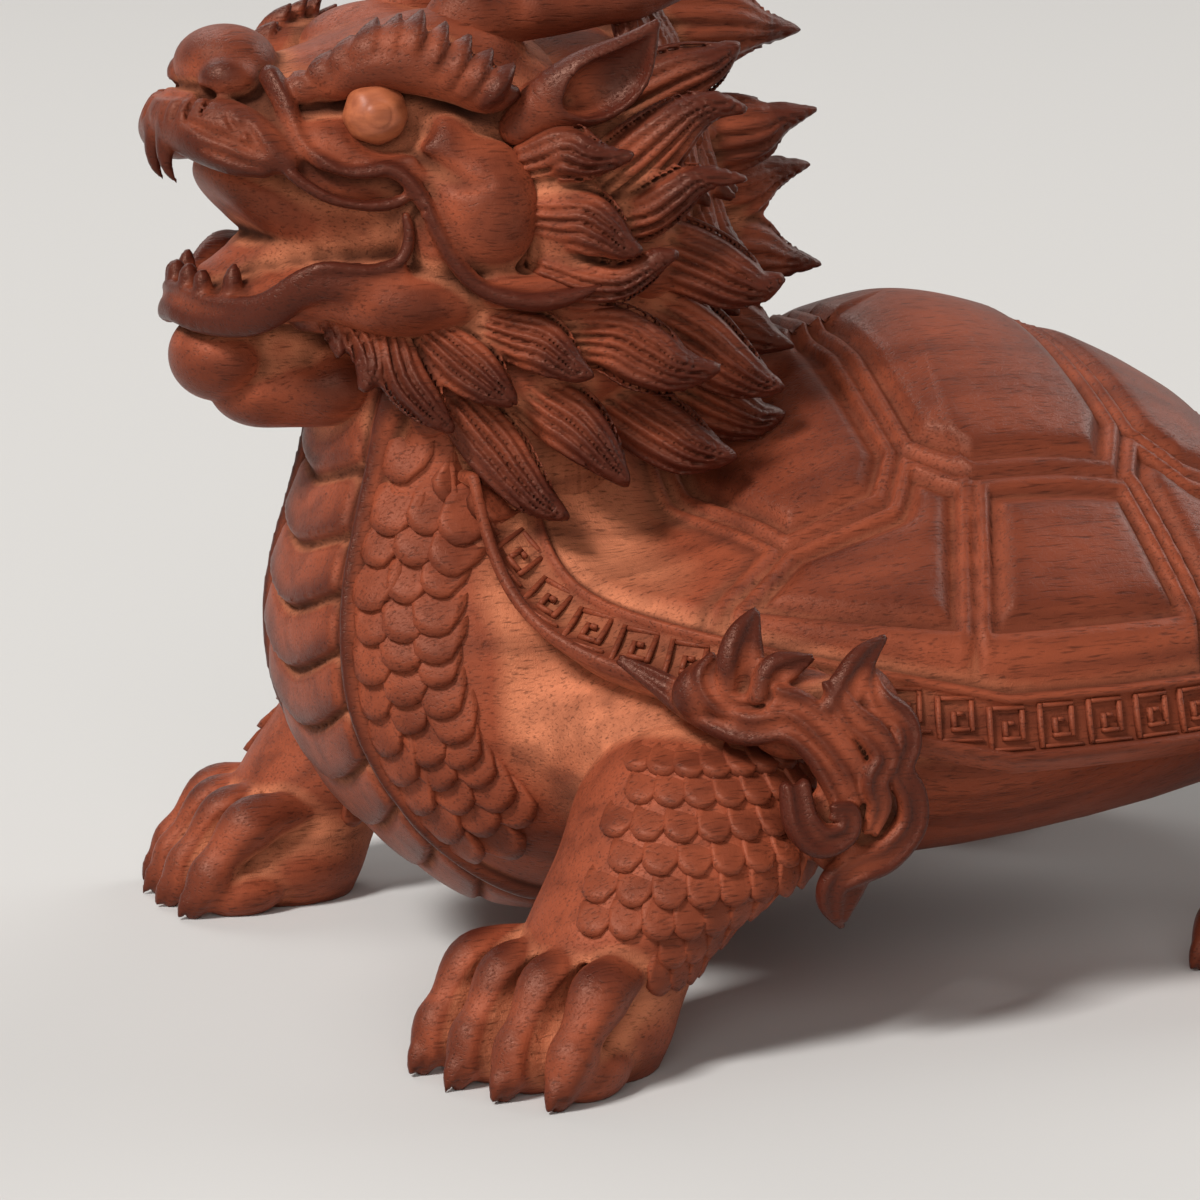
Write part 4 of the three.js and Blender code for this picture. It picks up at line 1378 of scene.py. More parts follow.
        for f, l, z in ((71.6, 2, 86), (70.9, 3.6, 86.1), (70, 5, 86.1), (68.9, 6.3, 86.1)):
            fold = [(f - 0.4, l, z, 0.3), (f + 0.5, l + 0.4, z - 1.3, 0.4), (f + 0.5, l + 0.6, z - 2.2, 0.2)]
            clay.cut(Rope(fold, UPWARDS), 0.25)
        crease = [
            (68.2, 84.8, 0.2), (67.6, 83.2, 0.42), (66.9, 84, 0.36), (66.2, 82.4, 0.42), (65.4, 81.6, 0.2)
        ]
        clay.cut(Rope(clay.on_side(crease, 0.05)), 0.2)
        upper = [(71.2, 84.2, 0.2), (69.6, 83.2, 0.42), (68, 82.5, 0.42), (65.6, 81.2, 0.2)]
        lower = [(70.4, 81.8, 0.2), (69, 81.2, 0.4), (67, 80.4, 0.35), (65.4, 80, 0.15)]
        for wrinkle in (upper, lower):
            clay.cut(Rope(clay.on_side(wrinkle, 0.05)), 0.3)
        top, bottom = np.asarray(clay.on_side([(52.9, 77.2), (51.4, 71.4)]))
        for i in range(self.corner_cuts):
            f, l, z = top + (bottom - top) * (i / (self.corner_cuts - 1))
            clay.cut(Rope([(f + 0.7, l, z, 0.22), (f - 0.6, l + 0.5, z + 0.1, 0.22)], UPWARDS), 0.1)

    def _nose(self, clay: Clay) -> None:
        """Shapes the snub nose with its nostrils and the curls behind them.

        Args:
            clay: The block.
        """
        seam = [(71.5, 0, 86.3, 0.6), (70, 4, 86.5, 0.6), (67, 7.2, 86.6, 0.6), (64.6, 9, 86, 0.4)]
        clay.cut(Rope(seam, UPWARDS), 0.3)
        clay.add(Egg((65, 0, 88.7), (4.7, 5.6, 3.6)), 0.5)
        clay.add(Egg((66.2, 4.4, 87.6), (2.9, 2.5, 2.2)), 0.5)
        clay.add(Egg((60.6, 8.4, 86.8), (1.9, 2.1, 1.7)), 0.35)
        clay.cut(Egg((68.4, 4.6, 86.2), (1, 1.2, 0.8)), 0.3)
        clay.cut(Rope([(62, 5.6, 90.2, 0.3), (61.9, 7.2, 88.6, 0.5), (61.6, 9, 85.6, 0.4)], UPWARDS), 0.3)

    def _brow(self, clay: Clay) -> None:
        """Hollows the eye socket and hangs the brow over it, its tufts combed up and back.

        Args:
            clay: The block.
        """
        brow = [
            (60.2, 7.6, 86.2, 0.9, 1.2), (57.8, 9.8, 87.6, 1.9, 2.2), (54.8, 11.8, 89, 2.4, 3),
            (51.4, 13.2, 89, 2.7, 3.1), (48.2, 14.6, 87.8, 2.3, 2.5), (45.6, 16, 86.4, 1.8, 1.9),
            (43.4, 16.6, 86.4, 0.8, 1),
        ]
        clay.cut(Egg((54.6, 14.6, 84.5), (4.4, 3.4, 3.6)), 0.9)
        clay.add(Rope(brow, steps=5), 0.5)
        roots = np.array(
            ((59.4, 9.6, 86.8), (56.4, 12.6, 88.6), (53, 14.6, 88.9), (49.6, 16, 87.2), (46.6, 17.2, 85.6))
        )
        tips = np.array(
            ((58, 9, 90.2), (54.4, 11.2, 93.2), (50.6, 12.9, 94), (46.8, 14.9, 91.8), (43.4, 17.2, 89.2))
        )
        for i in range(self.brow_tufts):
            place, knots = 4.0 * i / (self.brow_tufts - 1), range(5)
            root, tip = (
                np.array([np.interp(place, knots, rows[:, k]) for k in range(3)])
                for rows in (roots, tips)
            )
            bow = np.array((0.45, 0.5, -0.1))
            steps = [root + (tip - root) * t + bow * math.sin(math.pi * t) for t in (0, 0.35, 0.7, 1)]
            tuft = [(*step, w, d) for step, w, d in zip(steps, (1.25, 1.6, 1.15, 0.16), (0.9, 1.7, 1.5, 0.4))]
            clay.add(Rope(tuft, steps=5, sharp=1.25, cap=0.6), 0.12)

    def _cheek(self, clay: Clay) -> None:
        """Undercuts the back of the cheek where the mane starts.

        Args:
            clay: The block.
        """
        rim = [
            (46.5, 83.2, 0.3), (43.4, 82.2, 0.7), (41.4, 79.8, 0.9), (40.6, 76.6, 1), (40.8, 73.2, 1),
            (42.4, 70.4, 0.8),
        ]
        clay.cut(Rope(clay.on_side(rim, 0.0)), 0.4)
        dip = [(52.5, 81.5, 0.2), (50.4, 79.6, 0.7), (48.6, 78.6, 0.6), (47, 78.6, 0.2)]
        clay.cut(Rope(clay.on_side(dip, -0.3)), 1.2)

    def _teeth(self, clay: Clay) -> None:
        """Sets fangs and front teeth in both jaws.

        Args:
            clay: The block.
        """
        upper = [
            [(71.2, 1.6, 82.8, 1.2), (71.6, 1.7, 81, 0.8), (71.4, 1.8, 79.4, 0.5), (70.7, 1.9, 78.2, 0.2)],
            [(68.8, 6.8, 82, 1.2), (68.8, 7, 80.9, 0.9), (68.6, 7.1, 80.2, 0.4)],
        ]
        lower = [
            [(69.4, 1.6, 67.8, 1.1), (69.5, 1.7, 69.4, 0.95), (69.4, 1.7, 70.2, 0.5)],
            [(68.8, 4, 67.8, 1), (69, 4, 69.2, 0.85), (68.9, 4, 69.9, 0.45)],
            [(67, 6.4, 67.8, 1.1), (66.9, 6.5, 69.6, 0.85), (66.7, 6.5, 70.8, 0.3)],
        ]
        for tooth in upper + lower:
            clay.add(Rope(tooth), 0.3)

    def _eyes(self, wood: Material) -> None:
        """Turns the two eyeballs, faceted by the knife.

        Args:
            wood: Their finish.
        """
        reach = 1.5
        low = tuple(c - h - reach for c, h in zip(self.eye_centre, self.eye_half))
        high = tuple(c + h + reach for c, h in zip(self.eye_centre, self.eye_half))
        clay = Clay(low, high, self.eye_cell)
        clay.add(Egg(self.eye_centre, self.eye_half), 0.0)
        clay.press(low, high, self._facets)
        points, faces, wear = clay.skin()
        for side in Side:
            turned = faces if side is Side.LEFT else faces[:, ::-1]
            item = mesh_object(f"carved_eye_{side.word}", points * (1, side.value, 1), turned, wear, wood)
            settle(item, "eye_wood", f"eye_{side.word}")

    def _facets(self, f: Array, l: Array, z: Array) -> Array:
        """Returns the knife cuts on an eyeball and the ring round its pupil.

        Args:
            f: Forward places.
            l: Left places.
            z: Heights.
        """
        x, w = f - self.eye_centre[0] - 0.5, z - self.eye_centre[2]
        ring = np.exp(-(((np.hypot(x, w) - 1.25) / 0.16) ** 2)) * (l > self.eye_centre[1])
        return 0.09 * np.sin(1.9 * f + 0.9 * z) * np.sin(2.1 * z - 0.7 * f + 0.8) - 0.08 * ring


@dataclass
class Ears:
    """Two pointed ears, hollowed on their outer face."""

    cell: float = 0.25

    def make(self, bench: Bench) -> None:
        """Carves both ears.

        Args:
            bench: Bench that draws the pieces off.
        """
        clay = Clay((28, 12, 80), (47, 25, 95.5), self.cell)
        leaf = [
            (42.6, 15.6, 83.2, 1.6, 2), (40, 17.2, 85.4, 2.7, 2.2), (36.8, 18.7, 86.8, 3.5, 2.2),
            (34, 19.6, 88.4, 3.1, 1.8), (32.2, 20.2, 90.4, 1.7, 1.1), (30.8, 20.6, 92.6, 0.3, 0.4),
        ]
        clay.add(Rope(leaf, steps=4))
        clay.add(Rope([
            (42, 16.5, 84.9, 1.1, 1.6), (39, 18.2, 88.2, 1, 1.2), (35, 19.6, 90.3, 0.8, 0.9),
            (30.9, 20.7, 92.7, 0.3, 0.3),
        ]), 0.5)
        hollow = [
            (38.6, 20, 85.8, 1.2, 1.8), (36.6, 20.5, 86.7, 2.6, 2.6), (34, 21, 88.2, 2.3, 2.3),
            (32.4, 21.4, 90.2, 1.1, 1.3), (31.4, 21.5, 91.8, 0.3, 0.4),
        ]
        clay.cut(Rope(hollow, steps=4), 0.25)
        bench.carve_pair("ear", clay)


@dataclass
class Antlers:
    """Two branched antlers laid back over the crown."""

    cell: float = 0.3

    def make(self, bench: Bench) -> None:
        """Carves both antlers.

        Args:
            bench: Bench that draws the pieces off.
        """
        clay = Clay((12, 3, 87), (50, 15, 105.5), self.cell)
        beam = [
            (46, 7.5, 91.5, 2.8), (41, 8, 92.8, 2.7), (36, 8.6, 93.6, 2.7), (31, 9.1, 94.2, 2.4),
            (26.5, 9.5, 95, 2.2), (20, 9.4, 97.4, 1.5), (15.8, 9, 100.2, 0.3),
        ]
        clay.add(Rope(beam, UPWARDS))
        clay.add(Rope([(37.5, 8.6, 94, 2.3), (35.4, 9.2, 98, 1.6), (32.4, 9.6, 103.3, 0.3)]), 1.2)
        clay.add(Rope([(29, 9.2, 94.5, 2.1), (26.6, 10, 98.4, 1.4), (23.6, 10.3, 102.6, 0.3)]), 1.2)
        clay.add(Egg((43.6, 7.8, 93), (3.9, 3.5, 4.2)), 1.2)
        bench.carve_pair("antler", clay)


@dataclass(frozen=True)
class Lock:
    """A wedge of hair: full at its root, grooved along its run, flicked out to a blunt tip.

    Attributes:
        path: Stations of (forward, left, up, half width) from root to tip.
        depth: Half depth at its fullest.
        strands: Number of strands.
        groove: Depth of the grooves between them.
        flat: Direction of its depth.
    """

    path: Stations
    depth: float = 2.2
    strands: int = 4
    groove: float = 0.75
    flat: Point = SIDEWAYS

    def form(self, grow: float) -> Rope:
        """Returns the lock as a grooved rope, its width scaled by the given factor."""
        rows = [(f, l, z, w * grow, min(self.depth, 0.7 * w * grow + 0.35)) for f, l, z, w in self.path]
        return Rope(rows, self.flat, self.strands, self.groove, 7, 1.8, 1.2)


MANE = (
    Lock((
        (34.6, 15.5, 77, 2.2), (31.7, 17.3, 79.8, 2.4), (29.4, 18.5, 82.1, 2.1), (27.1, 19.3, 84.1, 1.5),
        (24.7, 20.2, 85, 0.9), (22.2, 20.8, 84.6, 0.35),
    ), 2.3, 6),
    Lock((
        (33.8, 16.4, 74.4, 1.7), (31, 18.2, 75.3, 1.8), (28.8, 19.6, 77, 1.6), (27.3, 20.4, 78.1, 1.2),
        (25.2, 21.2, 78.5, 0.7), (22.6, 21.8, 78.3, 0.3),
    ), 2.1, 5),
    Lock((
        (41.8, 16.4, 80.4, 1.5), (39.4, 18.5, 81.2, 1.9), (37.6, 19.9, 80.7, 1.5), (35.7, 20.9, 80.6, 0.8),
        (34, 21.7, 80.8, 0.35),
    ), 2.0, 5),
    Lock((
        (40.6, 16.6, 75.4, 1.7), (37.8, 18.7, 75.1, 2.1), (36.1, 20.2, 74, 1.8), (34.6, 21.2, 72.7, 1),
        (33.3, 22, 72.2, 0.35),
    ), 2.1, 6),
    Lock((
        (40.2, 16.6, 70.2, 1.5), (37.3, 18.2, 69.2, 1.7), (34.5, 19.6, 69.1, 1.4), (32.3, 20.6, 70.2, 1.1),
        (31.1, 21.4, 71.2, 0.8), (29.7, 22.1, 71.7, 0.35),
    ), 2.0, 5),
    Lock((
        (29.5, 13.6, 72.5, 2.2), (24.6, 16, 70.3, 2.3), (21.6, 17.6, 68.6, 2), (19.4, 18.4, 67.8, 1.2),
        (17.4, 19, 68.5, 0.4),
    ), 2.2, 6),
    Lock((
        (31, 13, 84.6, 2.4), (26.5, 14.6, 87, 2.2), (23.2, 15.6, 88.4, 1.5), (20.8, 16.2, 90, 0.4)
    ), 2.2, 5),
)
BEARD = (
    Lock((
        (29.5, 12, 66, 2.2), (24.8, 14.4, 63.2, 2.5), (21.7, 15.9, 60.6, 2.1), (18.8, 16.6, 58.7, 1.3),
        (16.4, 17, 58, 0.4),
    ), 2.3, 6),
    Lock((
        (38.6, 15.4, 64.2, 1.7), (34.2, 17.4, 63.8, 2.2), (31.4, 18.8, 62.2, 2.3), (29.1, 19.8, 60.9, 1.8),
        (26.8, 20.5, 60.6, 1), (24.8, 21, 60.8, 0.35),
    ), 2.2, 7),
    Lock((
        (44.6, 15, 64.9, 1.5), (41.5, 17.2, 63.8, 1.9), (39.8, 18.7, 62.4, 1.5), (38.6, 19.7, 61.3, 0.9),
        (37.4, 20.5, 60.8, 0.3),
    ), 2.0, 6),
    Lock((
        (50.2, 13.4, 64.4, 1.4), (47.6, 15.7, 61.8, 1.9), (45.8, 17.2, 59.9, 1.4), (44.4, 18.3, 58.6, 0.5)
    ), 1.9, 6),
    Lock((
        (53.6, 12, 64.4, 1.2), (53.1, 14, 60.9, 1.6), (51.6, 15.4, 58.3, 1.3), (49.6, 16.3, 56, 0.4)
    ), 1.7, 5),
    Lock((
        (56.8, 10.2, 66.2, 1), (55.8, 11.9, 63.6, 1.3), (55.9, 12.9, 61.5, 1.1), (56.8, 13.5, 59.9, 0.4)
    ), 1.5, 5),
    Lock(((58.9, 9.4, 66.2, 0.8), (58.4, 10.6, 64.4, 0.8), (58.5, 11.5, 62.8, 0.3)), 1.0, 4),
)
RUFF = (
    Lock((
        (31.5, 12.6, 57, 1.9), (28.2, 15.2, 54.6, 2.2), (25.9, 17, 53, 1.9), (23.7, 17.9, 52.2, 1.1),
        (22, 18.6, 52, 0.35),
    ), 2.2, 6),
    Lock((
        (40.4, 14, 58.4, 1.7), (38, 16.6, 56.4, 2.1), (36.5, 18.4, 54.5, 1.8), (35.2, 19.5, 52.6, 1.2),
        (33.8, 20.4, 50.6, 0.4),
    ), 2.1, 6),
    Lock((
        (47, 12.8, 57.4, 1.7), (44.8, 15, 54.2, 2), (43.2, 16.8, 51.4, 1.7), (41.6, 18.2, 49.2, 1.2),
        (39.6, 19.5, 47.7, 0.4),
    ), 2.0, 6),
    Lock((
        (25, 10.6, 58.6, 2.2), (20.8, 12.6, 56.2, 2.2), (17.4, 13.4, 54.6, 1.4), (14.6, 13.6, 54.8, 0.4)
    ), 2.3, 6),
)
NAPE = (
    Lock(((26, 0, 91.4, 4.2), (15, 0, 91, 3.4), (10.6, 0, 90.5, 1.7), (6.2, 0, 90.2, 0.25)), 3.0, 5, 0.6),
    Lock(((26, 4, 80.4, 3.6), (15, 5.4, 81, 2.9), (11.3, 6, 82.2, 1.4), (7.6, 6.5, 83, 0.25)), 2.4, 5, 0.6),
    Lock(((25, 0, 74.4, 4), (13.6, 0, 75, 3.2), (9.3, 0, 76.3, 1.6), (5, 0, 77.1, 0.25)), 2.8, 5, 0.6),
    Lock(((24, 0, 69.4, 4.2), (12.6, 0, 68.8, 3.4), (8.2, 0, 67.9, 1.7), (3.7, 0, 67.2, 0.25)), 3.0, 5, 0.6),
    Lock((
        (24, 5, 65, 3.4), (16.4, 7, 62.6, 2.7), (13.6, 7.8, 61.4, 1.4), (10.8, 8.5, 60.5, 0.25)
    ), 2.4, 5, 0.6),
)
# Rise over the nape, drop and half width along one of the short locks there.
NAPE_RUN = ((-1.4, 5, 1.8), (0.5, 1.6, 2.8), (1.4, -2, 2.6), (2.8, -5, 1.4), (5, -6.6, 0.25))


@dataclass
class Hair:
    """Mane, beard, ruff and crest: rows of locks round the back of the head."""

    cell: float = 0.27
    crest_cell: float = 0.32
    fullness: float = 1.55
    spike_fullness: float = 1.3
    nape_rows: int = 6
    nape_columns: int = 4

    def make(self, bench: Bench) -> None:
        """Carves the crest and the three tufts on each side.

        Args:
            bench: Bench that draws the pieces off.
        """
        crest = Clay((1.5, 0, 54), (46, 19, 97), self.crest_cell, halved=True)
        crest.add(Egg((32, 0, 75), (12, 14, 17)))
        crest.add(Egg((27, 0, 75.5), (9, 10.5, 14)), 2.0)
        self._tuft(crest, self._nape(), 1.0)
        self._tuft(crest, NAPE, self.spike_fullness)
        bench.carve_one("mane_crest", crest)
        mane = Clay((14, 8, 62), (46, 25, 93), self.cell)
        mane.add(Rope([(39, 13.6, 84.5, 3), (38, 15.2, 76, 4.2), (37, 14.8, 67.5, 3.6)]))
        mane.add(Rope([(35, 12, 84, 3.4), (31, 13.2, 77, 4.6), (29, 12.6, 70, 4)]), 1.0)
        self._tuft(mane, MANE, self.fullness)
        bench.carve_pair("mane", mane)
        beard = Clay((12, 5, 53), (63, 24, 70), self.cell)
        jawline = [(60, 7.2, 66.4, 2), (50, 11.6, 65.8, 2.6), (38, 14, 65.6, 3), (28, 11.8, 65.5, 3)]
        beard.add(Rope(jawline))
        self._tuft(beard, BEARD, self.fullness)
        bench.carve_pair("beard", beard)
        ruff = Clay((12, 6, 44), (52, 23.5, 65), self.cell)
        ruff.add(Rope([(47.5, 11, 58.5, 2.6), (38, 13.2, 60, 3.2), (26, 11, 60.5, 3.2)]))
        self._tuft(ruff, RUFF, self.fullness)
        bench.carve_pair("ruff", ruff)

    def _nape(self) -> list[Lock]:
        """Returns rows of short locks that lie over one another up the back of the head."""
        locks = []
        for row in range(self.nape_rows):
            up = 60.0 + 5.5 * row
            girth = math.sqrt(1.0 - ((up - 75.0) / 19.0) ** 2)
            for column in range(self.nape_columns):
                turn = math.radians(20.0 * column + (10.0 if row % 2 else 0.0))
                back, out = math.cos(turn), math.sin(turn)
                path = [
                    (31.0 - (12.0 * girth + rise) * back, (13.6 * girth + rise) * out, up + drop, half)
                    for rise, drop, half in NAPE_RUN
                ]
                locks.append(Lock(tuple(path), 1.5, 5, 0.6, (-back, out, 0.2)))
        return locks

    def _tuft(self, clay: Clay, locks: Sequence[Lock], fullness: float) -> None:
        """Adds locks one after another, each with a sharp edge over the last."""
        for lock in locks:
            clay.add(lock.form(fullness), 0.6)


@dataclass
class Trunk:
    """Belly, chest and neck in one block, plated in front and scaled on the sides of the neck.

    Angles are seen from the middle of the chest: the slope runs up and down the front, the turn
    runs from the middle line out to the sides.
    """

    cell: float = 0.36
    heart: Point = (36, 0, 34)
    plate_pitch: float = 14.6
    plate_top: float = 37.5
    neck_top: float = 59.6
    scale_size: Point = (4.7, 5.5, 1)
    scale_columns: int = 5
    scale_rows: int = 15
    seed: int = 7

    def make(self, bench: Bench, setter: Setter, shell: "Carapace") -> None:
        """Carves the trunk so that it stays under the shell, and sets the neck scales.

        Args:
            bench: Bench that draws the pieces off.
            setter: Sets out the repeats.
            shell: The shell that covers the trunk.
        """
        clay = Clay((-52, 0, 4), (64, 38, 61), self.cell, halved=True)
        belly = [
            (-47, 0, 27, 7, 5), (-39, 0, 26, 21, 13), (-4, 0, 26, 32, 17), (20, 0, 27, 28, 17),
            (36, 0, 28, 19, 13),
        ]
        clay.add(Rope(belly, UPWARDS, steps=5, cap=3.0))
        chest = [
            (6.2, 33, 0, 2, 2), (7.2, 33, 0, 8, 7.5), (10.4, 33.2, 0, 13, 13.5), (18, 34.2, 0, 19.6, 20),
            (26.3, 35.6, 0, 22.7, 21.6), (34.2, 37, 0, 22.7, 20.8), (40.9, 38.6, 0, 20.5, 18.4),
            (47.4, 40.4, 0, 17, 15.8), (53.8, 41.6, 0, 14.2, 14.4), (60.5, 42.4, 0, 12.8, 13.8),
        ]
        clay.add(Column(chest, 2.35), 3.0)
        clay.add(Egg((30, 0, 27), (17, 34.6, 11)), 3.0)
        clay.trim(lambda f, l, z: z - self.neck_top + 0.0 * f)
        clay.trim(lambda f, l, z: np.minimum(self._off_neck(f, l), shell.above(f, l, z)))
        clay.press((20, 0, 4), (64, 24, 59), self._front)
        bench.carve_one("trunk", clay, self._wax)
        self._scales(clay, setter)

    @staticmethod
    def _off_neck(f: Array, l: Array) -> Array:
        """Returns how far points lie outside the neck's oval."""
        return 14.0 * (np.hypot((f - 41.5) / 17.0, l / 14.0) - 1.0)

    def _angles(self, f: Array, l: Array, z: Array) -> tuple[Array, Array]:
        """Returns slope and turn in degrees of points seen from the middle of the chest.

        Args:
            f: Forward places.
            l: Left places.
            z: Heights.
        """
        x, w = f - self.heart[0], z - self.heart[2]
        slope = np.degrees(np.arctan2(w, x))
        return slope, np.degrees(np.arctan2(np.abs(l), np.hypot(x, w)))

    @staticmethod
    def _cord_turn(slope: Array) -> Array:
        """Returns the turn at which the cord runs that edges the plates."""
        return np.interp(slope, (-80, -40, 6, 30, 50), (25.4, 28.6, 25.6, 21.8, 18))

    def _lap(self, f: Array, l: Array, z: Array) -> tuple[Array, Array, Array]:
        """Finds points on the plates.

        Args:
            f: Forward places.
            l: Left places.
            z: Heights.

        Returns:
            Share of the way down a plate, 1 inside the strip of plates, and turn beyond the cord.
        """
        slope, turn = self._angles(f, l, z)
        cord = self._cord_turn(slope)
        row = (self.plate_top - slope + 9.5 * (np.abs(l) / 10.0) ** 1.6) / self.plate_pitch
        inside = clamp((cord - 2.0 - turn) / 1.5) * clamp((slope + 95.0) / 8.0)
        beside = np.where(np.abs(slope) < 100.0, turn - cord, 90.0)
        return row - np.floor(row), inside * clamp((78.0 - slope) / 8.0), beside

    def _front(self, f: Array, l: Array, z: Array) -> Array:
        """Returns the relief of the lapped plates and of the cord beside them.

        Args:
            f: Forward places.
            l: Left places.
            z: Heights.
        """
        share, inside, beside = self._lap(f, l, z)
        plates = np.interp(share, (0, 0.04, 0.12, 0.25, 0.93, 1), (-0.55, -0.85, -0.35, 0, 0.55, -0.55))
        ridge = 0.85 * np.exp(-((beside / 1.6) ** 2)) - 0.45 * np.exp(-(((beside + 3.4) / 1.2) ** 2))
        return plates * inside + ridge - 0.35 * np.exp(-(((beside - 3.6) / 1.4) ** 2))

    def _wax(self, points: Array, wear: Array) -> Array:
        """Darkens the cracks between plates and the lines beside the cord: painted shade in them, together
        with the wax that has stayed there.

        Args:
            points: Rows of (forward, left, up).
            wear: Wear of each point.

        Returns:
            The darkened wear.
        """
        share, inside, beside = self._lap(*points.T)
        crack = inside * np.interp(share, (0, 0.05, 0.15, 0.94, 1), (1, 1, 0, 0, 1))
        crack = np.maximum(crack, np.exp(-(((np.abs(beside) - 3.0) / 1.0) ** 2)))
        # Cracks are marked as creases, which the finish paints dark: painted shade, together with wax.
        return np.stack([wear[:, 0] + 0.2 * (beside < 0.0), np.maximum(wear[:, 1], 0.9 * crack)], axis=1)

    def _scales(self, clay: Clay, setter: Setter) -> None:
        """Sets rows of scales between the cord and the smooth shoulder.

        Args:
            clay: The carved trunk.
            setter: Sets out the repeats.
        """
        directions, tips = [], []
        chance = np.random.default_rng(self.seed)
        for column in range(self.scale_columns):
            for row in range(self.scale_rows):
                slope = 60.0 - 9.6 * row - (4.8 if column % 2 else 0.0) + chance.uniform(-1.0, 1.0)
                turn = float(self._cord_turn(slope)) + 6.6 + 8.2 * column + chance.uniform(-0.9, 0.9)
                edge = float(np.interp(slope, (-58, -40, -19, 0, 28, 60), (57, 57, 56, 52, 47, 42)))
                if turn > edge - 1.0 or slope < -62.0:
                    continue
                a, b = math.radians(slope), math.radians(turn)
                directions.append((math.cos(a) * math.cos(b), math.sin(b), math.sin(a) * math.cos(b)))
                tips.append((math.sin(a), chance.uniform(-0.1, 0.2), -math.cos(a)))
        starts = np.tile(self.heart, (len(directions), 1))
        points, good = clay.hit(starts, np.asarray(directions), 45.0)
        points, tips = points[good], np.asarray(tips)[good]
        facing = clay.normals(points, 1.2)
        points = np.concatenate([points, points * MIRROR])
        facing = np.concatenate([facing, facing * MIRROR])
        tips = np.concatenate([tips, tips * MIRROR])
        girth = np.asarray(self.scale_size) * chance.uniform(0.9, 1.12, (len(points), 1))
        setter.set_out("neck_scales", setter.scale, points, facing, tips, girth)


BACK_SEAMS = (0.55, 0.19, -0.27, -0.6, -0.88)
SEAM_HALVES = (0.3, 0.5, 0.5, 0.42, 0.2)
BACK_HALVES = (0.6, 0.63, 0.58, 0.44)
SIDE_SEAMS = (
    ((0.46, 0.6), (0.66, 0.75), (0.76, 0.8)), ((0.109, 0.65), (0.234, 0.95), (0.25, 1.0)),
    ((-0.213, 0.64), (-0.235, 0.95), (-0.24, 1.0)), ((-0.53, 0.58), (-0.58, 0.80), (-0.62, 0.9)),
    ((-0.88, 0.2), (-1.0, 0.24)),
)


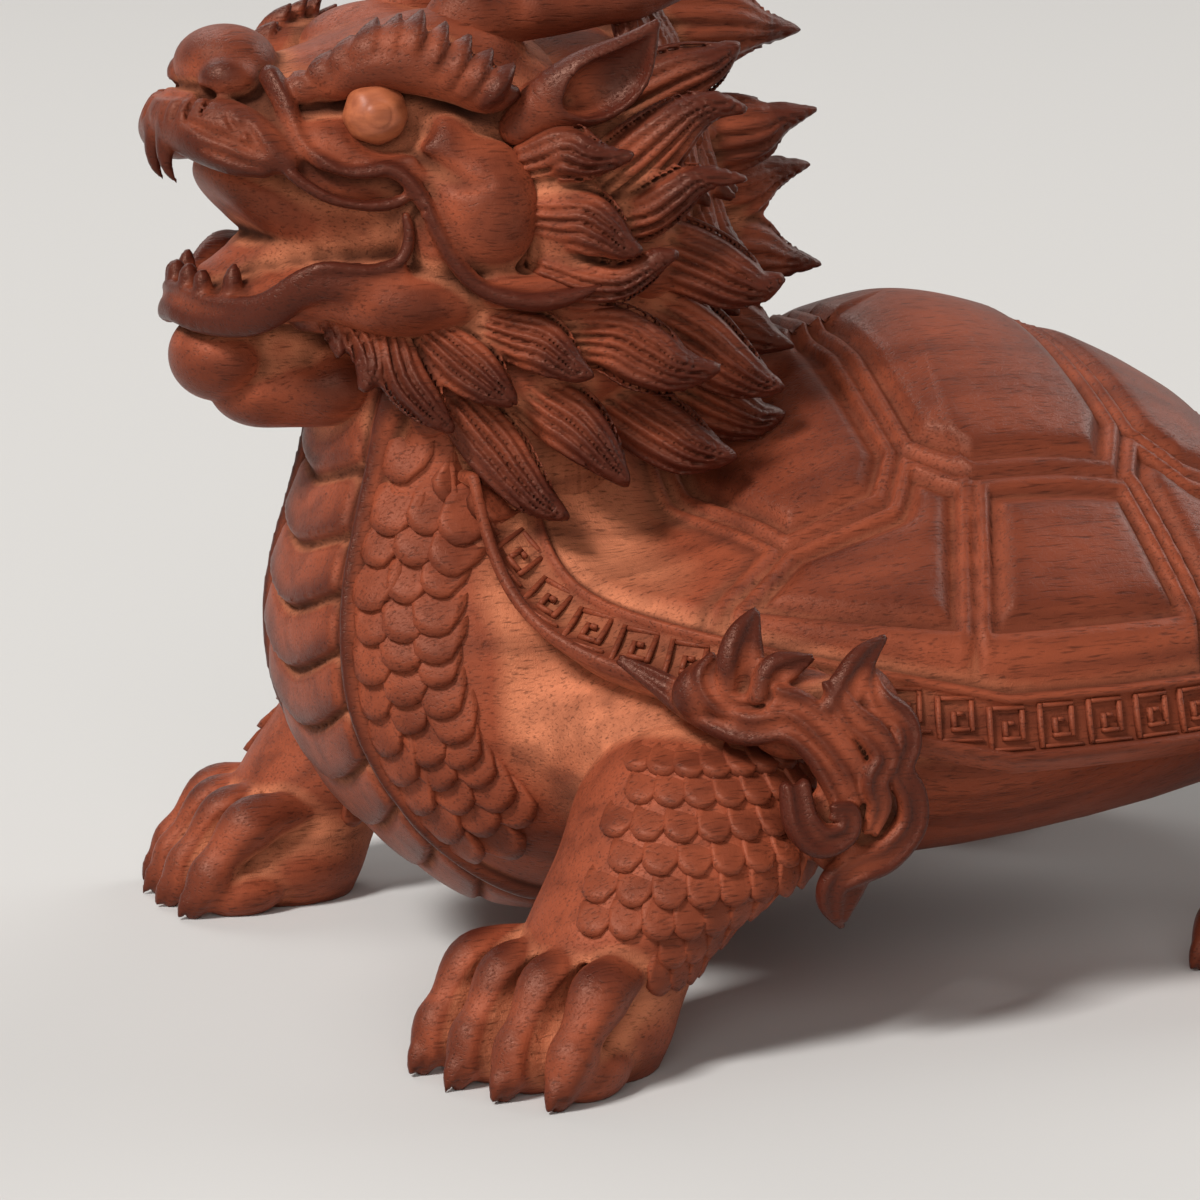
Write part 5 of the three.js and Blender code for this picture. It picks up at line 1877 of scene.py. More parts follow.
@dataclass
class Carapace:
    """Domed shell with raised scutes, a fretted rim band and a collar that flares round the neck.

    Sizes are millimetres. At the collar the rim rises and ends in a steep horn, the band leans in
    and dips, and the dome behind it is hollowed.
    """

    centre: float = -4.0
    half_length: float = 53.0
    half_width: float = 44.0
    crown: float = 63.5
    underside: float = 25.0
    trunk_gap: float = 2.4
    mean_reach: float = 45.0
    front_square: float = 2.5
    band: float = 7.5
    inset: float = 1.5
    collar_rise: float = 13.5
    collar_horn: float = 11.5
    collar_lean: float = 6.0
    collar_dip: float = 4.5
    collar_hollow: float = 4.5
    turns: int = 540
    dome_rows: int = 120
    band_rows: int = 26
    keys: int = 62
    key_height: float = 0.5

    def make(self, bench: Bench, setter: Setter) -> None:
        """Builds the shell and sets the fret keys on its band.

        Args:
            bench: Bench that draws the pieces off.
            setter: Sets out the repeats.
        """
        angle = np.linspace(0.0, 2.0 * np.pi, self.turns, endpoint=False)
        share = np.linspace(0.0, 1.0, self.band_rows)[:, None]
        rows = [self._under(angle, s) for s in (0.5, 0.68, 0.86)]
        rows.append(self._rim(angle, 1.0, 0.0))
        band = self._band(angle, share)
        dome = self._dome(angle, np.linspace(1.0, 0.02, self.dome_rows)[1:, None])
        top = np.concatenate([band, dome])
        relief, wear = self._relief(angle, band, dome)
        # The front of the dome is made paler: partly raw wood sheltered under the mane, partly painted light
        # where the mane shades it.
        wear[self.band_rows :, :, 0] -= 0.8 * clamp((dome[..., 0] - 20.0) / 12.0)
        top = top + self._normals(top) * relief[..., None]
        grid = np.concatenate([np.stack(rows), top])
        wears = np.concatenate([np.zeros((len(rows), self.turns, 2)), wear])
        points, faces = self._skin(grid)
        wears = np.concatenate([wears.reshape(-1, 2), np.zeros((2, 2))])
        item = mesh_object("carved_carapace", points, faces, wears, bench.wood)
        bench.add_shell(settle(item, "carved_wood", "carapace"), self.outside)
        self._fret(setter)

    def _lean(self, climb: Array) -> Array:
        """Returns how far the top of the band lies inside its foot."""
        return self.inset + self.collar_lean * climb

    def _top(self, climb: Array) -> Array:
        """Returns the height of the band, lower on the collar."""
        return self.band - self.collar_dip * climb**2

    def _reach(self, c: Array, s: Array) -> Array:
        """Returns how far the rim reaches in a direction: an oval behind, squarer in front."""
        power = self.front_square
        return np.where(c > 0, (np.abs(c) ** power + np.abs(s) ** power) ** (-1 / power), 1.0)

    def _fall(self, climb: Array, share: Array) -> tuple[Array, Array]:
        """Returns what the dome has lost of its height at shares of its reach, and the collar's hollow.

        Args:
            climb: How far the rim has turned into the collar.
            share: Shares of the rim's reach.
        """
        loss = (0.88 + 0.12 * climb) * share ** (1.68 - 0.38 * climb)
        return loss, self.collar_hollow * np.sqrt(climb) * np.sin(
            np.pi * np.maximum(0.0, (share - 0.3) / 0.7)
        )

    def _climb(self, angle: Array) -> Array:
        """Returns how far the rim has turned into the collar, from 0 to 1."""
        front = np.degrees(np.abs(np.arctan2(np.sin(angle), np.cos(angle))))
        return clamp((80.0 - front) / 60.0)

    def _rise(self, angle: Array) -> Array:
        """Returns the height of the rim above its low side: a slope that ends in a steep horn."""
        climb = self._climb(angle)
        return self.collar_rise * climb + self.collar_horn * climb**12

    def above(self, f: Array, l: Array, z: Array) -> Array:
        """Returns how far points lie above a face just under the shell's, below zero outside its rim."""
        share, height = self._plan(f, l)
        return np.minimum(z - height + self.trunk_gap, (1.0 - share) * self.mean_reach)

    def outside(self, f: Array, l: Array, z: Array) -> Array:
        """Returns how far points lie outside the shell's wood, below zero inside it."""
        share, height = self._plan(f, l)
        return np.maximum(np.maximum(z - height, self.underside - z), (share - 1.0) * self.mean_reach)

    def _plan(self, f: Array, l: Array) -> tuple[Array, Array]:
        """Returns each plan point's share of the way out to the rim, and the shell's height there.

        Args:
            f: Forward places.
            l: Left places.
        """
        x, y = (f - self.centre) / self.half_length, np.abs(l) / self.half_width
        angle, c, s = np.arctan2(y, x), x / np.hypot(x, y + 1e-6), y / np.hypot(x, y + 1e-6)
        share = np.hypot(x, y) / self._reach(c, s)
        climb = self._climb(angle)
        wide = self._lean(climb) / self.half_length
        foot = self.underside + self._rise(angle)
        top = self._top(climb)
        loss, hollow = self._fall(climb, clamp(share / (1.0 - wide)))
        dome = foot + top + (self.crown - foot - top) * (1.0 - loss) - hollow
        band = foot + 1.0 + (top - 1.0) * clamp((1.0 - share) / wide)
        return share, np.where(share > 1.0 - wide, band, dome)

    def _rim(self, angle: Array, inset: Array | float, lift: Array | float) -> Array:
        """Returns points of the rim, moved in and up.

        Args:
            angle: Angles round the shell.
            inset: How far in.
            lift: How far up.
        """
        c, s = np.cos(angle), np.sin(angle)
        reach = self._reach(c, s)
        forward = self.centre + (self.half_length - inset) * reach * c
        left = (self.half_width - inset) * reach * s
        up = self.underside + self._rise(angle) + lift
        return np.stack(np.broadcast_arrays(forward, left, up), axis=-1)

    def _under(self, angle: Array, share: float) -> Array:
        """Returns a ring of the shell's underside.

        Args:
            angle: Angles round the shell.
            share: Shares of the rim's reach.
        """
        climb = self._climb(angle)
        ring = self._rim(angle, 0.0, 0.0)
        depth = np.interp(share, (0.5, 0.86), (0.0, 1.0))
        ring[:, 0] = self.centre + (ring[:, 0] - self.centre) * share
        ring[:, 1] *= share
        ring[:, 2] = self.underside + depth * (ring[:, 2] - 5.0 * climb - self.underside)
        return ring

    def _band(self, angle: Array, share: Array) -> Array:
        """Returns points of the rim band from its edge to its top.

        Args:
            angle: Angles round the shell.
            share: Shares of the band's height.
        """
        climb = self._climb(angle)
        inset = share * self._lean(climb)
        lift = 1.0 + share * (self._top(climb) - 1.0)
        return self._rim(np.broadcast_to(angle, inset.shape), inset, lift)

    def _dome(self, angle: Array, share: Array) -> Array:
        """Returns points of the dome at shares of the rim's reach.

        Args:
            angle: Angles round the shell.
            share: Shares of the rim's reach.
        """
        climb = self._climb(angle)
        rim = self._rim(angle, self._lean(climb), 0.0)
        top = self._top(climb)
        edge = clamp((1.0 - share) / 0.03)
        loss, hollow = self._fall(climb, share)
        full = (1.0 - loss) * edge * edge * (3.0 - 2.0 * edge)
        up = rim[:, 2] + top + (self.crown - rim[:, 2] - top) * full - hollow
        forward = self.centre + (rim[:, 0] - self.centre) * share
        return np.stack([forward, rim[:, 1] * share, up], axis=-1)

    @staticmethod
    def _normals(grid: Array) -> Array:
        """Returns outward directions on a grid of rows round the shell.

        Args:
            grid: Rows of points round the shell.
        """
        along = np.roll(grid, -1, axis=1) - np.roll(grid, 1, axis=1)
        down = np.gradient(grid, axis=0)
        normal = np.cross(along, down)
        return normal / np.maximum(np.linalg.norm(normal, axis=-1, keepdims=True), 1e-9)

    def _seams(self) -> list[tuple[Array, Array]]:
        """Returns the seams between scutes as plan segments in millimetres."""
        lines = []
        for row in range(len(BACK_SEAMS) - 1):
            a, b, half = BACK_SEAMS[row], BACK_SEAMS[row + 1], BACK_HALVES[row]
            lines.append([
                (a, 0.0), (a, SEAM_HALVES[row]), (a - 0.09, half), (b + 0.07, half),
                (b, SEAM_HALVES[row + 1]),
            ])
        lines.append([(BACK_SEAMS[-1], 0.0), (BACK_SEAMS[-1], SEAM_HALVES[-1])])
        lines += [list(line) for line in SIDE_SEAMS]
        size = np.array((self.half_length, self.half_width))
        shift = np.array((self.centre, 0.0))
        return [
            (np.asarray(a) * size + shift, np.asarray(b) * size + shift)
            for line in lines
            for a, b in zip(line, line[1:])
        ]

    def _relief(self, angle: Array, band: Array, dome: Array) -> tuple[Array, Array]:
        """Works out the carved relief of band and dome.

        Args:
            angle: Angles round the shell.
            band: Points of the band.
            dome: Points of the dome.

        Returns:
            Heights along the surface and ridge and hollow values, row by row.
        """
        u = np.linspace(0.0, 1.0, self.band_rows)[:, None] + 0.0 * angle
        climb = self._climb(angle)
        places = (0, 0.05, 0.14, 0.2, 0.82, 0.88, 0.94, 1)
        low = np.interp(u, places, (-0.2, 0.35, 0.4, -0.35, -0.35, 0.25, 0.25, -0.4))
        low = low - (0.2 + 0.7 * climb) * np.sin(np.pi * clamp((u - 0.14) / 0.74))
        rubbed = np.interp(u, places, (0.3, 0.45, 0.5, 0.5, 0.5, 0.5, 0.5, 0.3))
        # The crease column darkens the groove of the band and its inner edge: painted shade.
        low_wear = np.stack([rubbed, np.interp(u, places, (0, 0, 0, 0.5, 0.3, 0, 0, 0.8))], axis=-1)
        plan = np.abs(dome[..., :2] * (0.0, 1.0)) + dome[..., :2] * (1.0, 0.0)
        distance = np.full(plan.shape[:2], 99.0)
        for a, b in self._seams():
            run = clamp(((plan - a) @ (b - a)) / max(float((b - a) @ (b - a)), 1e-9))
            distance = np.minimum(distance, np.linalg.norm(plan - a - run[..., None] * (b - a), axis=-1))
        rim = np.linspace(1.0, 0.02, self.dome_rows)[1:, None] + 0.0 * angle
        edge = (1.0 - rim) * np.linalg.norm(dome[0, :, :2] - (self.centre, 0.0), axis=-1)
        limit = np.interp(
            plan[..., 1] / self.half_width, (0, 0.3, 0.6, 0.75, 1), (0.55, 0.55, 0.47, 0.66, 0.95)
        )
        ahead = clamp(((plan[..., 0] - self.centre) / self.half_length - limit) * 30.0)
        distance = np.minimum(distance, edge + 30.0 * ahead)
        steps = (0, 0.35, 0.85, 1.3, 1.75, 2.1, 3.3, 4.2, 9, 20)
        plates = np.interp(distance, steps, (-0.7, -0.2, 0.3, 0.1, -0.7, -0.7, 0.5, 0.7, 0.8, 0.85))
        plain = np.interp(distance, steps, (-0.6, -0.2, 0.25, 0.1, -0.2, -0.1, 0, 0, 0, 0))
        high = plates * (1.0 - ahead) + plain * ahead
        rubbed = np.interp(distance, steps, (0.45, 0.45, 0.6, 0.5, 0.45, 0.45, 0.7, 0.6, 0.35, 0.25))
        # The crease column darkens the seam grooves between scutes: painted shade.
        wear = np.stack([
            rubbed, np.interp(distance, steps, (0.7, 0.15, 0, 0, 0.65, 0.5, 0, 0, 0, 0))
        ], axis=-1)
        fade = clamp(rim / 0.12)
        return np.concatenate([low, high * fade + 0.85 * (1.0 - fade)]), np.concatenate([low_wear, wear])

    def _skin(self, grid: Array) -> tuple[Array, Array]:
        """Joins rows of points into a closed mesh with a point at the bottom and at the crown.

        Args:
            grid: Rows of points round the shell.

        Returns:
            Points and quads.
        """
        rows, columns = grid.shape[:2]
        number = np.arange(rows * columns).reshape(rows, columns)
        after = np.roll(number, -1, axis=1)
        quads = np.stack([number[:-1], after[:-1], after[1:], number[1:]], axis=-1).reshape(-1, 4)
        bottom, top = rows * columns, rows * columns + 1
        fan = np.stack([after[0], number[0], np.full(columns, bottom), np.full(columns, bottom)], axis=-1)
        cap = np.stack([number[-1], after[-1], np.full(columns, top), np.full(columns, top)], axis=-1)
        tips = np.array([(self.centre, 0.0, self.underside), grid[-1].mean(axis=0)])
        return np.concatenate([grid.reshape(-1, 3), tips]), np.concatenate([quads, fan, cap])

    def _fret(self, setter: Setter) -> None:
        """Sets keys of the fret round the band at even steps.

        Args:
            setter: Sets out the repeats.
        """
        fine = np.linspace(0.0, 2.0 * np.pi, 2000)
        middle = self._band(fine, np.array([[0.5]]))[0]
        run = np.concatenate([[0.0], np.cumsum(np.linalg.norm(np.diff(middle, axis=0), axis=1))])
        angle = np.interp((np.arange(self.keys) + 0.5) / self.keys * run[-1], run, fine)
        low, mid, high = (self._band(angle, np.array([[s]]))[0] for s in (0.2, 0.51, 0.82))
        side = self._band(angle + 0.01, np.array([[0.51]]))[0] - mid
        across = high - low
        facing = np.cross(side, across)
        facing /= np.linalg.norm(facing, axis=1, keepdims=True)
        depth = 0.45 + 0.55 * self._climb(angle)
        wide, thick = np.full(self.keys, run[-1] / self.keys * 0.96), np.full(self.keys, self.key_height)
        girth = np.stack([wide, np.linalg.norm(across, axis=1), thick], axis=1)
        setter.set_out("fret_keys", fret_key(), mid - facing * depth[:, None], facing, across, girth)


@dataclass(frozen=True)
class LegPlan:
    """Stance of one leg.

    Attributes:
        node: Node it stands for.
        side: Side of the figure.
        forward: Forward place of the foot.
        yaw: Outward turn of the foot in degrees.
        setback: How far the hip lies behind the foot.
    """

    node: str
    side: Side
    forward: float
    yaw: float
    setback: float


LEGS = (
    LegPlan("front_left_leg", Side.LEFT, 46.0, 24.0, 15.0),
    LegPlan("front_right_leg", Side.RIGHT, 49.0, 6.0, 15.0),
    LegPlan("rear_left_leg", Side.LEFT, -36.0, 18.0, 2.0),
    LegPlan("rear_right_leg", Side.RIGHT, -36.0, 18.0, 2.0),
)

# Strands of a paw: how far ahead, share of the spread across, how high, and half sizes.
TOE = (
    (-7.5, 0.78, 10, 1.8), (-3.4, 0.95, 9.9, 2.4), (-0.4, 1, 9, 3), (2.2, 1.04, 6.2, 2.2),
    (3.7, 1.06, 4.2, 2.5), (4.9, 1.08, 2.2, 1.8), (5.6, 1.08, 0.8, 1),
)
CLAW = ((4, 1.07, 3.6, 1.5), (6, 1.09, 2, 1.2), (7.2, 1.1, 0.2, 0.2))
PAD = ((0.5, 1, 2.2),)
GAP = (
    (-5, 0.85, 11.4, 0.4, 0.5), (-0.8, 1, 9.2, 0.9, 1.5), (3.2, 1.05, 6.4, 1, 2), (6.4, 1.1, 2.4, 0.9, 2.2),
    (7.4, 1.12, -0.6, 0.9, 2.2),
)


@dataclass
class Legs:
    """Four stout legs with four-toed paws, scaled on the outside and behind."""

    cell: float = 0.36
    left: float = 35.0
    toes: int = 4
    toe_spread: float = 15.3
    toe_reach: float = 6.0
    toe_arch: float = 5.0
    scale_size: Point = (3.6, 4.3, 0.9)
    scale_rows: int = 9
    scale_pitch: float = 2.6
    scale_top: float = 28.5

    def make(self, bench: Bench, setter: Setter) -> None:
        """Carves each leg and sets its scales.

        Args:
            bench: Bench that draws the pieces off.
            setter: Sets out the repeats.
        """
        for plan in LEGS:
            clay = self._carve(plan)
            bench.carve_one(plan.node, clay, self._scuffed, plan.side)
            self._scales(plan, clay, setter)

    def _scuffed(self, points: Array, wear: Array) -> Array:
        """Returns the wear with the paws rubbed back to paler wood."""
        return wear - np.outer(0.6 * clamp((14.0 - points[:, 2]) / 5.0), (1.0, 0.0))

    def _from_foot(self, plan: LegPlan, ahead: float, out: float, up: float) -> Point:
        """Returns a point given ahead of, outside and above the foot's middle."""
        c, s = math.cos(math.radians(plan.yaw)), math.sin(math.radians(plan.yaw))
        return plan.forward + ahead * c - out * s, self.left + ahead * s + out * c, up

    def _strand(self, plan: LegPlan, spread: float, rows: Stations) -> list[tuple[float, ...]]:
        """Lays the rows of a strand at a place across the paw, its toes in an arch.

        Args:
            plan: The leg's stance.
            spread: Place across the paw, from -0.5 to 0.5.
            rows: The strand's table.

        Returns:
            Its stations.
        """
        out, reach = spread * self.toe_spread, self.toe_reach - self.toe_arch * spread**2
        return [
            (*self._from_foot(plan, reach + ahead, out * wide, up), *size)
            for ahead, wide, up, *size in rows
        ]

    def _shank(self, plan: LegPlan) -> list[tuple[float, ...]]:
        """Returns sections of the leg from the sole up to the hip, longer where the leg leans.

        Args:
            plan: The leg's stance.
        """
        hip, foot = plan.forward - plan.setback, plan.forward - 1.8
        return [
            (-1.0, foot + 0.6, self.left, 6.8, 6.4), (4.0, foot, self.left, 8.2, 7.6),
            (9.0, foot - 0.12 * plan.setback, self.left - 0.2, 8.8, 8.0),
            (13.6, foot - 0.36 * plan.setback, self.left - 0.5, 8.8 + 0.08 * plan.setback, 9.2),
            (18.6, foot - 0.74 * plan.setback, self.left - 1.5, 11.0 + 0.1 * plan.setback, 10.6),
            (24.0, hip + 0.5, self.left - 3.5, 11.0, 10.0), (28.6, hip - 0.5, self.left - 4.5, 8.0, 7.4),
            (31.0, hip, self.left - 5.0, 1.0, 1.0),
        ]

    def _carve(self, plan: LegPlan) -> Clay:
        """Carves one leg as a left leg.

        Args:
            plan: The leg's stance.

        Returns:
            Its block.
        """
        hip = plan.forward - plan.setback
        low = (min(hip - 14.0, plan.forward - 15.0), 18.0, -1.0)
        clay = Clay(low, (plan.forward + 18.0, 52.0, 33.5), self.cell)
        clay.add(Column(self._shank(plan)))
        f, l, _ = self._from_foot(plan, 0.4, 0.0, 0.0)
        clay.add(Egg((f, l, 4.0), (9.4, 9, 5.6), yaw=plan.yaw), 1.6)
        spreads = [i / (self.toes - 1) - 0.5 for i in range(self.toes)]
        for spread in spreads:
            clay.add(Rope(self._strand(plan, spread, TOE), steps=5, sharp=1.6), 0.6)
            clay.add(Rope(self._strand(plan, spread, CLAW), steps=4, sharp=1.4), 0.15)
            pad = self._strand(plan, spread, PAD)[0]
            clay.add(Egg(pad, (4.4, 2.5, 2.6), yaw=plan.yaw), 0.8)
        for first, second in zip(spreads, spreads[1:]):
            clay.cut(Rope(self._strand(plan, (first + second) / 2, GAP), UPWARDS, steps=5), 0.6)
        clay.trim(lambda f, l, z: -z + 0.0 * f)
        return clay

    def _scales(self, plan: LegPlan, clay: Clay, setter: Setter) -> None:
        """Sets rows of scales, tips down, on the outer and rear face of a leg.

        Args:
            plan: The leg's stance.
            clay: The carved leg.
            setter: Sets out the repeats.
        """
        shank = np.asarray(self._shank(plan))
        starts, directions = [], []
        for row in range(self.scale_rows):
            up = self.scale_top - self.scale_pitch * row
            f, l = (float(np.interp(up, shank[:, 0], shank[:, i])) for i in (1, 2))
            for column in range(-4, 11):
                turn = math.radians(16.0 * column + (8.0 if row % 2 else 0.0))
                starts.append((f, l, min(up, 24.0)))
                rise = max(0.0, (up - 24.0) / 9.0)
                directions.append(unit((-math.sin(turn), math.cos(turn), rise)))
        points, good = clay.hit(np.asarray(starts), np.asarray(directions), 18.0)
        facing = clay.normals(points, 1.0)
        good &= (points[:, 2] > 8.0) & (points[:, 1] > self.left - 9.0)
        good &= points[:, 0] < plan.forward - 0.5 * (points[:, 2] - 8.0) + np.where(
            points[:, 2] > 13.0, 4.0, -3.0
        )
        points, facing = points[good], facing[good]
        if plan.side is Side.RIGHT:
            points, facing = points * MIRROR, facing * MIRROR
        tips = np.tile((0.35, 0, -1), (len(points), 1))
        girth = np.tile(self.scale_size, (len(points), 1))
        setter.set_out(f"{plan.node}_scales", setter.scale, points, facing, tips, girth)


FLAME_STRANDS: tuple[tuple[Stations, float], ...] = (
    ((
        (38.8, 30.2, 36.2, 0.4), (36.6, 33.4, 34.6, 0.9), (34.6, 36.6, 33, 1.3), (31.6, 40.6, 31.4, 1.4),
        (28.2, 42.4, 31.6, 1.3), (26, 43.8, 29.8, 1.2), (24.4, 45, 26.6, 1.1), (23.7, 45.5, 24.4, 0.9),
    ), 0.25),
    ((
        (33, 38, 37.2, 0.7), (34.2, 38.4, 35.6, 1), (33.3, 39.5, 33.8, 1.1), (31.3, 40.2, 33.1, 1.1),
        (29.6, 40.8, 33.9, 1), (29, 40.8, 35.6, 0.9),
    ), 0.2),
    ((
        (31.4, 39.6, 34.6, 1.7, 1.2), (31.2, 39.6, 37, 1.9, 1.4), (30.6, 39.2, 39.2, 1.5, 1.2),
        (29.2, 38.6, 41.4, 0.4, 0.4),
    ), 0.2),
    ((
        (29.4, 41.2, 33.6, 1.6, 1.4), (28.6, 41.2, 36, 1.5, 1.3), (27.2, 41.6, 36.8, 1.1, 1),
        (25.2, 42, 37.4, 0.3, 0.3),
    ), 0.2),
    ((
        (29, 42, 34, 1.2), (26.9, 43, 33.1, 1.3), (24.8, 44.2, 30.9, 1.3), (22.9, 45.2, 27.9, 1.2),
        (21.9, 45.6, 24.8, 1),
    ), 0.2),
    ((
        (23.9, 44, 32.6, 1.5, 1.3), (22.2, 43.6, 35.2, 1.5, 1.3), (20.6, 43.1, 37.2, 1.1, 1),
        (18.2, 42.5, 38.8, 0.3, 0.3),
    ), 0.2),
    ((
        (24.3, 43.8, 35.4, 0.7), (22.9, 44.6, 32.6, 1.1), (20.9, 45.4, 30.8, 1.2), (19.9, 46, 28.6, 1.15),
        (21, 46.2, 26.6, 1.1), (20.5, 46.2, 24.4, 1), (21.2, 46, 22, 0.7),
    ), 0.2),
    ((
        (20.2, 43.2, 36, 0.6), (19.9, 44.4, 33.6, 1.1), (17.9, 45.2, 31.7, 1.2), (17.6, 45.8, 29.7, 1.2),
        (18.4, 46, 27.3, 1.15), (17.1, 46, 24.7, 1.2), (17.2, 45.9, 22, 1.3), (19.5, 45.7, 19.6, 1.4),
        (22.3, 45.4, 18.6, 1.4), (24.3, 45, 17.4, 1.2), (24.6, 44.5, 15.4, 0.9), (23, 44, 12.8, 0.3),
    ), 0.2),
    ((
        (28.4, 45, 26.6, 1.2), (28, 45.7, 23.4, 1.4), (26.2, 46.2, 21.6, 1.3), (24, 46.5, 22.3, 1.1),
        (23.8, 46.5, 24, 0.9), (25.2, 46.5, 24.2, 0.7),
    ), 0.2),
    (((22, 45.4, 20.6, 1.6, 1.2), (22.9, 45, 17, 1.5, 1.1), (23.2, 44.4, 13.6, 0.5, 0.4)), 0.2),
)
FLAME_BODY: tuple[tuple[Point, Point], ...] = (
    ((31.5, 37.2, 34), (5.2, 2.6, 3.4)), ((25.8, 40.2, 32), (5, 2.7, 4.2)),
    ((20.8, 42.6, 29.6), (4.6, 2.4, 7)), ((21.8, 43.4, 22.2), (4.8, 2.1, 5)),
)


@dataclass
class Flames:
    """Flame scrolls that lick back from the rim over each thigh."""

    cell: float = 0.25
    low: Point = (14, 30, 10.5)
    high: Point = (45.5, 49.5, 43.5)
    fullness: float = 1.25
    rear_shift: Point = (-58.9, 0.6, -7.1)

    def make(self, bench: Bench) -> None:
        """Carves the front pair and the rear pair."""
        bench.carve_pair("front_flame", self._scroll((0, 0, 0)))
        bench.carve_pair("rear_flame", self._scroll(self.rear_shift))

    def _scroll(self, shift: Point) -> Clay:
        """Returns one scroll moved along the rim.

        Args:
            shift: Move from the front left scroll.
        """
        low, high = (tuple(np.add(corner, shift)) for corner in (self.low, self.high))
        clay = Clay(low, high, self.cell)
        for centre, half in FLAME_BODY:
            clay.add(Egg(tuple(np.add(centre, shift)), half), 0.8)
        for stations, blend in FLAME_STRANDS:
            moved = [(*np.add(s[:3], shift), *(self.fullness * size for size in s[3:])) for s in stations]
            clay.add(Rope(moved, SIDEWAYS, 1, 1.1, 6, 1.6, 1.0), blend)
        return clay


@dataclass
class Tail:
    """Tail plume of three grooved strands that curl up against the shell."""

    cell: float = 0.33
    root: float = -49.0
    end: float = -71.0
    top: float = 47.0

    def make(self, bench: Bench) -> None:
        """Carves the tail.

        Args:
            bench: Bench that draws the pieces off.
        """
        clay = Clay((-73, 0, 18), (-44, 11, 50), self.cell, halved=True)
        for out, reach, top in ((6.0, 2.0, self.top - 7.0), (0.0, 0.0, self.top)):
            middle = (26.0 + top) / 2 + 2.0
            path = [
                (self.root, out * 0.3, 25.0, 4.0, 4.0), (self.end + 7.5 + reach, out * 0.7, 28.5, 4.0, 4.2),
                (self.end + 3.4 + reach, out, middle, 3.2, 3.0),
                (self.end + 4.0 + reach, out * 1.05, top - 4.0, 1.8, 1.6),
                (self.end + 6.4 + reach, out * 1.1, top, 0.3, 0.3),
            ]
            clay.add(Rope(path, SIDEWAYS, 5, 0.8, 5), 0.3)
        bench.carve_one("tail", clay)


# Name, place in metres, size in metres and power in watts of each lamp.
LAMPS = (
    ("key_light", (3, -5.8, 6.4), 1.9, 900.0), ("fill_light", (5.2, -2.4, 2.4), 3.6, 120.0),
    ("back_light", (-1.2, 5.6, 3.6), 3.6, 128.0), ("top_light", (-4.8, -0.4, 5.2), 3.2, 88.0),
)


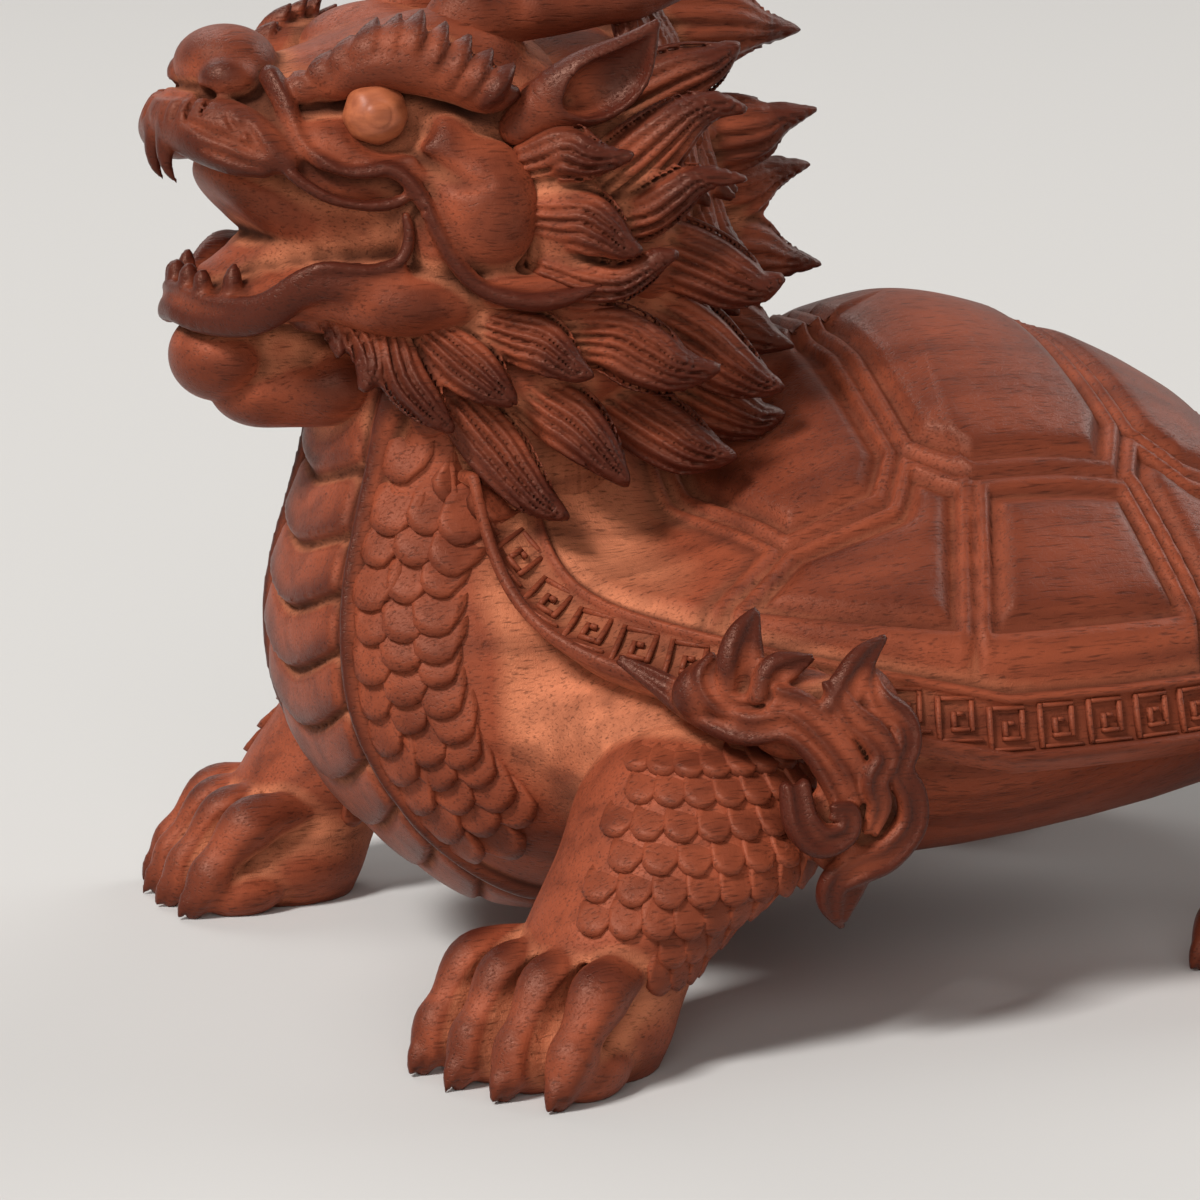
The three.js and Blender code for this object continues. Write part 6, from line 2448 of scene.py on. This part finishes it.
@dataclass
class Studio:
    """Pale floor, soft light and a camera on the figure's left front."""

    eye: Point = (0.3940, -0.2027, 0.1192)
    azimuth: float = 66.0
    elevation: float = 11.0
    lens: float = 135.0
    target: Point = (0, -0.01, 0.05)
    floor_half: float = 6.0
    floor_colour: str = "#cbc8c4"
    backdrop_colour: str = "#bcb9b5"
    room_light: float = 0.11

    def set_up(self) -> None:
        """Makes the floor, the lights, the world and the camera."""
        scene = bpy.context.scene
        scene.view_settings.view_transform = "Standard"
        self._floor()
        for lamp in LAMPS:
            self._lamp(*lamp)
        self._world(scene)
        data = bpy.data.cameras.new("camera")
        data.lens = self.lens
        data.sensor_width = 36.0
        data.clip_start = 0.01
        camera = linked("camera", data)
        camera.location = self.eye
        camera.rotation_euler = (math.radians(90.0 - self.elevation), 0.0, math.radians(self.azimuth))
        scene.camera = camera

    def _floor(self) -> None:
        """Lays a plain pale floor."""
        mesh = bpy.data.meshes.new("floor")
        size = self.floor_half
        mesh.from_pydata([
            (-size, -size, 0), (size, -size, 0), (size, size, 0), (-size, size, 0)
        ], [], [(0, 1, 2, 3)])
        material = bpy.data.materials.new("pale_floor")
        material.use_nodes = True
        shader = material.node_tree.nodes["Principled BSDF"]
        shader.inputs["Base Color"].default_value = linear(self.floor_colour)
        shader.inputs["Roughness"].default_value = 0.9
        mesh.materials.append(material)
        floor = linked("floor", mesh)

    def _lamp(self, name: str, place: Point, size: float, power: float) -> None:
        """Hangs a soft square lamp that faces the figure.

        Args:
            name: Its name.
            place: Its place in metres.
            size: Its width in metres.
            power: Its power in watts.
        """
        data = bpy.data.lights.new(name, "AREA")
        data.size = size
        data.energy = power
        lamp = linked(name, data)
        lamp.location = place
        aim = np.subtract(self.target, place)
        flat = math.hypot(aim[0], aim[1])
        lamp.rotation_euler = (math.atan2(flat, -aim[2]), 0.0, math.atan2(aim[1], aim[0]) - math.pi / 2)

    def _world(self, scene: Scene) -> None:
        """Fills the room with soft light and shows a pale backdrop.

        Args:
            scene: The scene.
        """
        world = bpy.data.worlds.new("studio")
        world.use_nodes = True
        tree = world.node_tree
        tree.nodes.clear()
        path = node(tree, "ShaderNodeLightPath")
        rays = [path.outputs[f"Is {kind} Ray"] for kind in ("Camera", "Glossy", "Transmission")]
        direct = maths(tree, "MAXIMUM", rays[0], rays[1])
        seen = maths(tree, "MAXIMUM", direct, rays[2])
        room = node(tree, "ShaderNodeBackground", Color=linear("#ffffff"), Strength=self.room_light)
        backdrop = node(tree, "ShaderNodeBackground", Color=linear(self.backdrop_colour), Strength=1.0)
        mix = node(tree, "ShaderNodeMixShader", i0=seen, i1=room, i2=backdrop)
        node(tree, "ShaderNodeOutputWorld", Surface=mix)
        scene.world = world


def main() -> None:
    """Builds the figure piece by piece and sets up the studio."""
    logging.basicConfig(level=logging.INFO, format="%(name)s %(message)s")
    Studio().set_up()
    rosewood = CarvedWood().make()
    eye_wood = PlainWood("bare_rosewood", "#a65c3a", "#8e4b2f", 0.9, 0.45).make()
    dowel_wood = PlainWood("turned_beech", "#d0a878", "#b98d5c", 0.6, 0.7).make()
    bench = Bench(rosewood)
    setter = Setter(rosewood)
    Head().make(bench, eye_wood)
    Ears().make(bench)
    Antlers().make(bench)
    Hair().make(bench)
    shell = Carapace()
    Trunk().make(bench, setter, shell)
    shell.make(bench, setter)
    Legs().make(bench, setter)
    Flames().make(bench)
    Tail().make(bench)
    bench.patinate()
    for name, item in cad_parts.items():
        if name.endswith("dowel") or "dowel_" in name:
            item.data.materials.clear()
            item.data.materials.append(dowel_wood)
            log.info("%s: dowel wood", name)


if __name__ == "__main__":
    main()
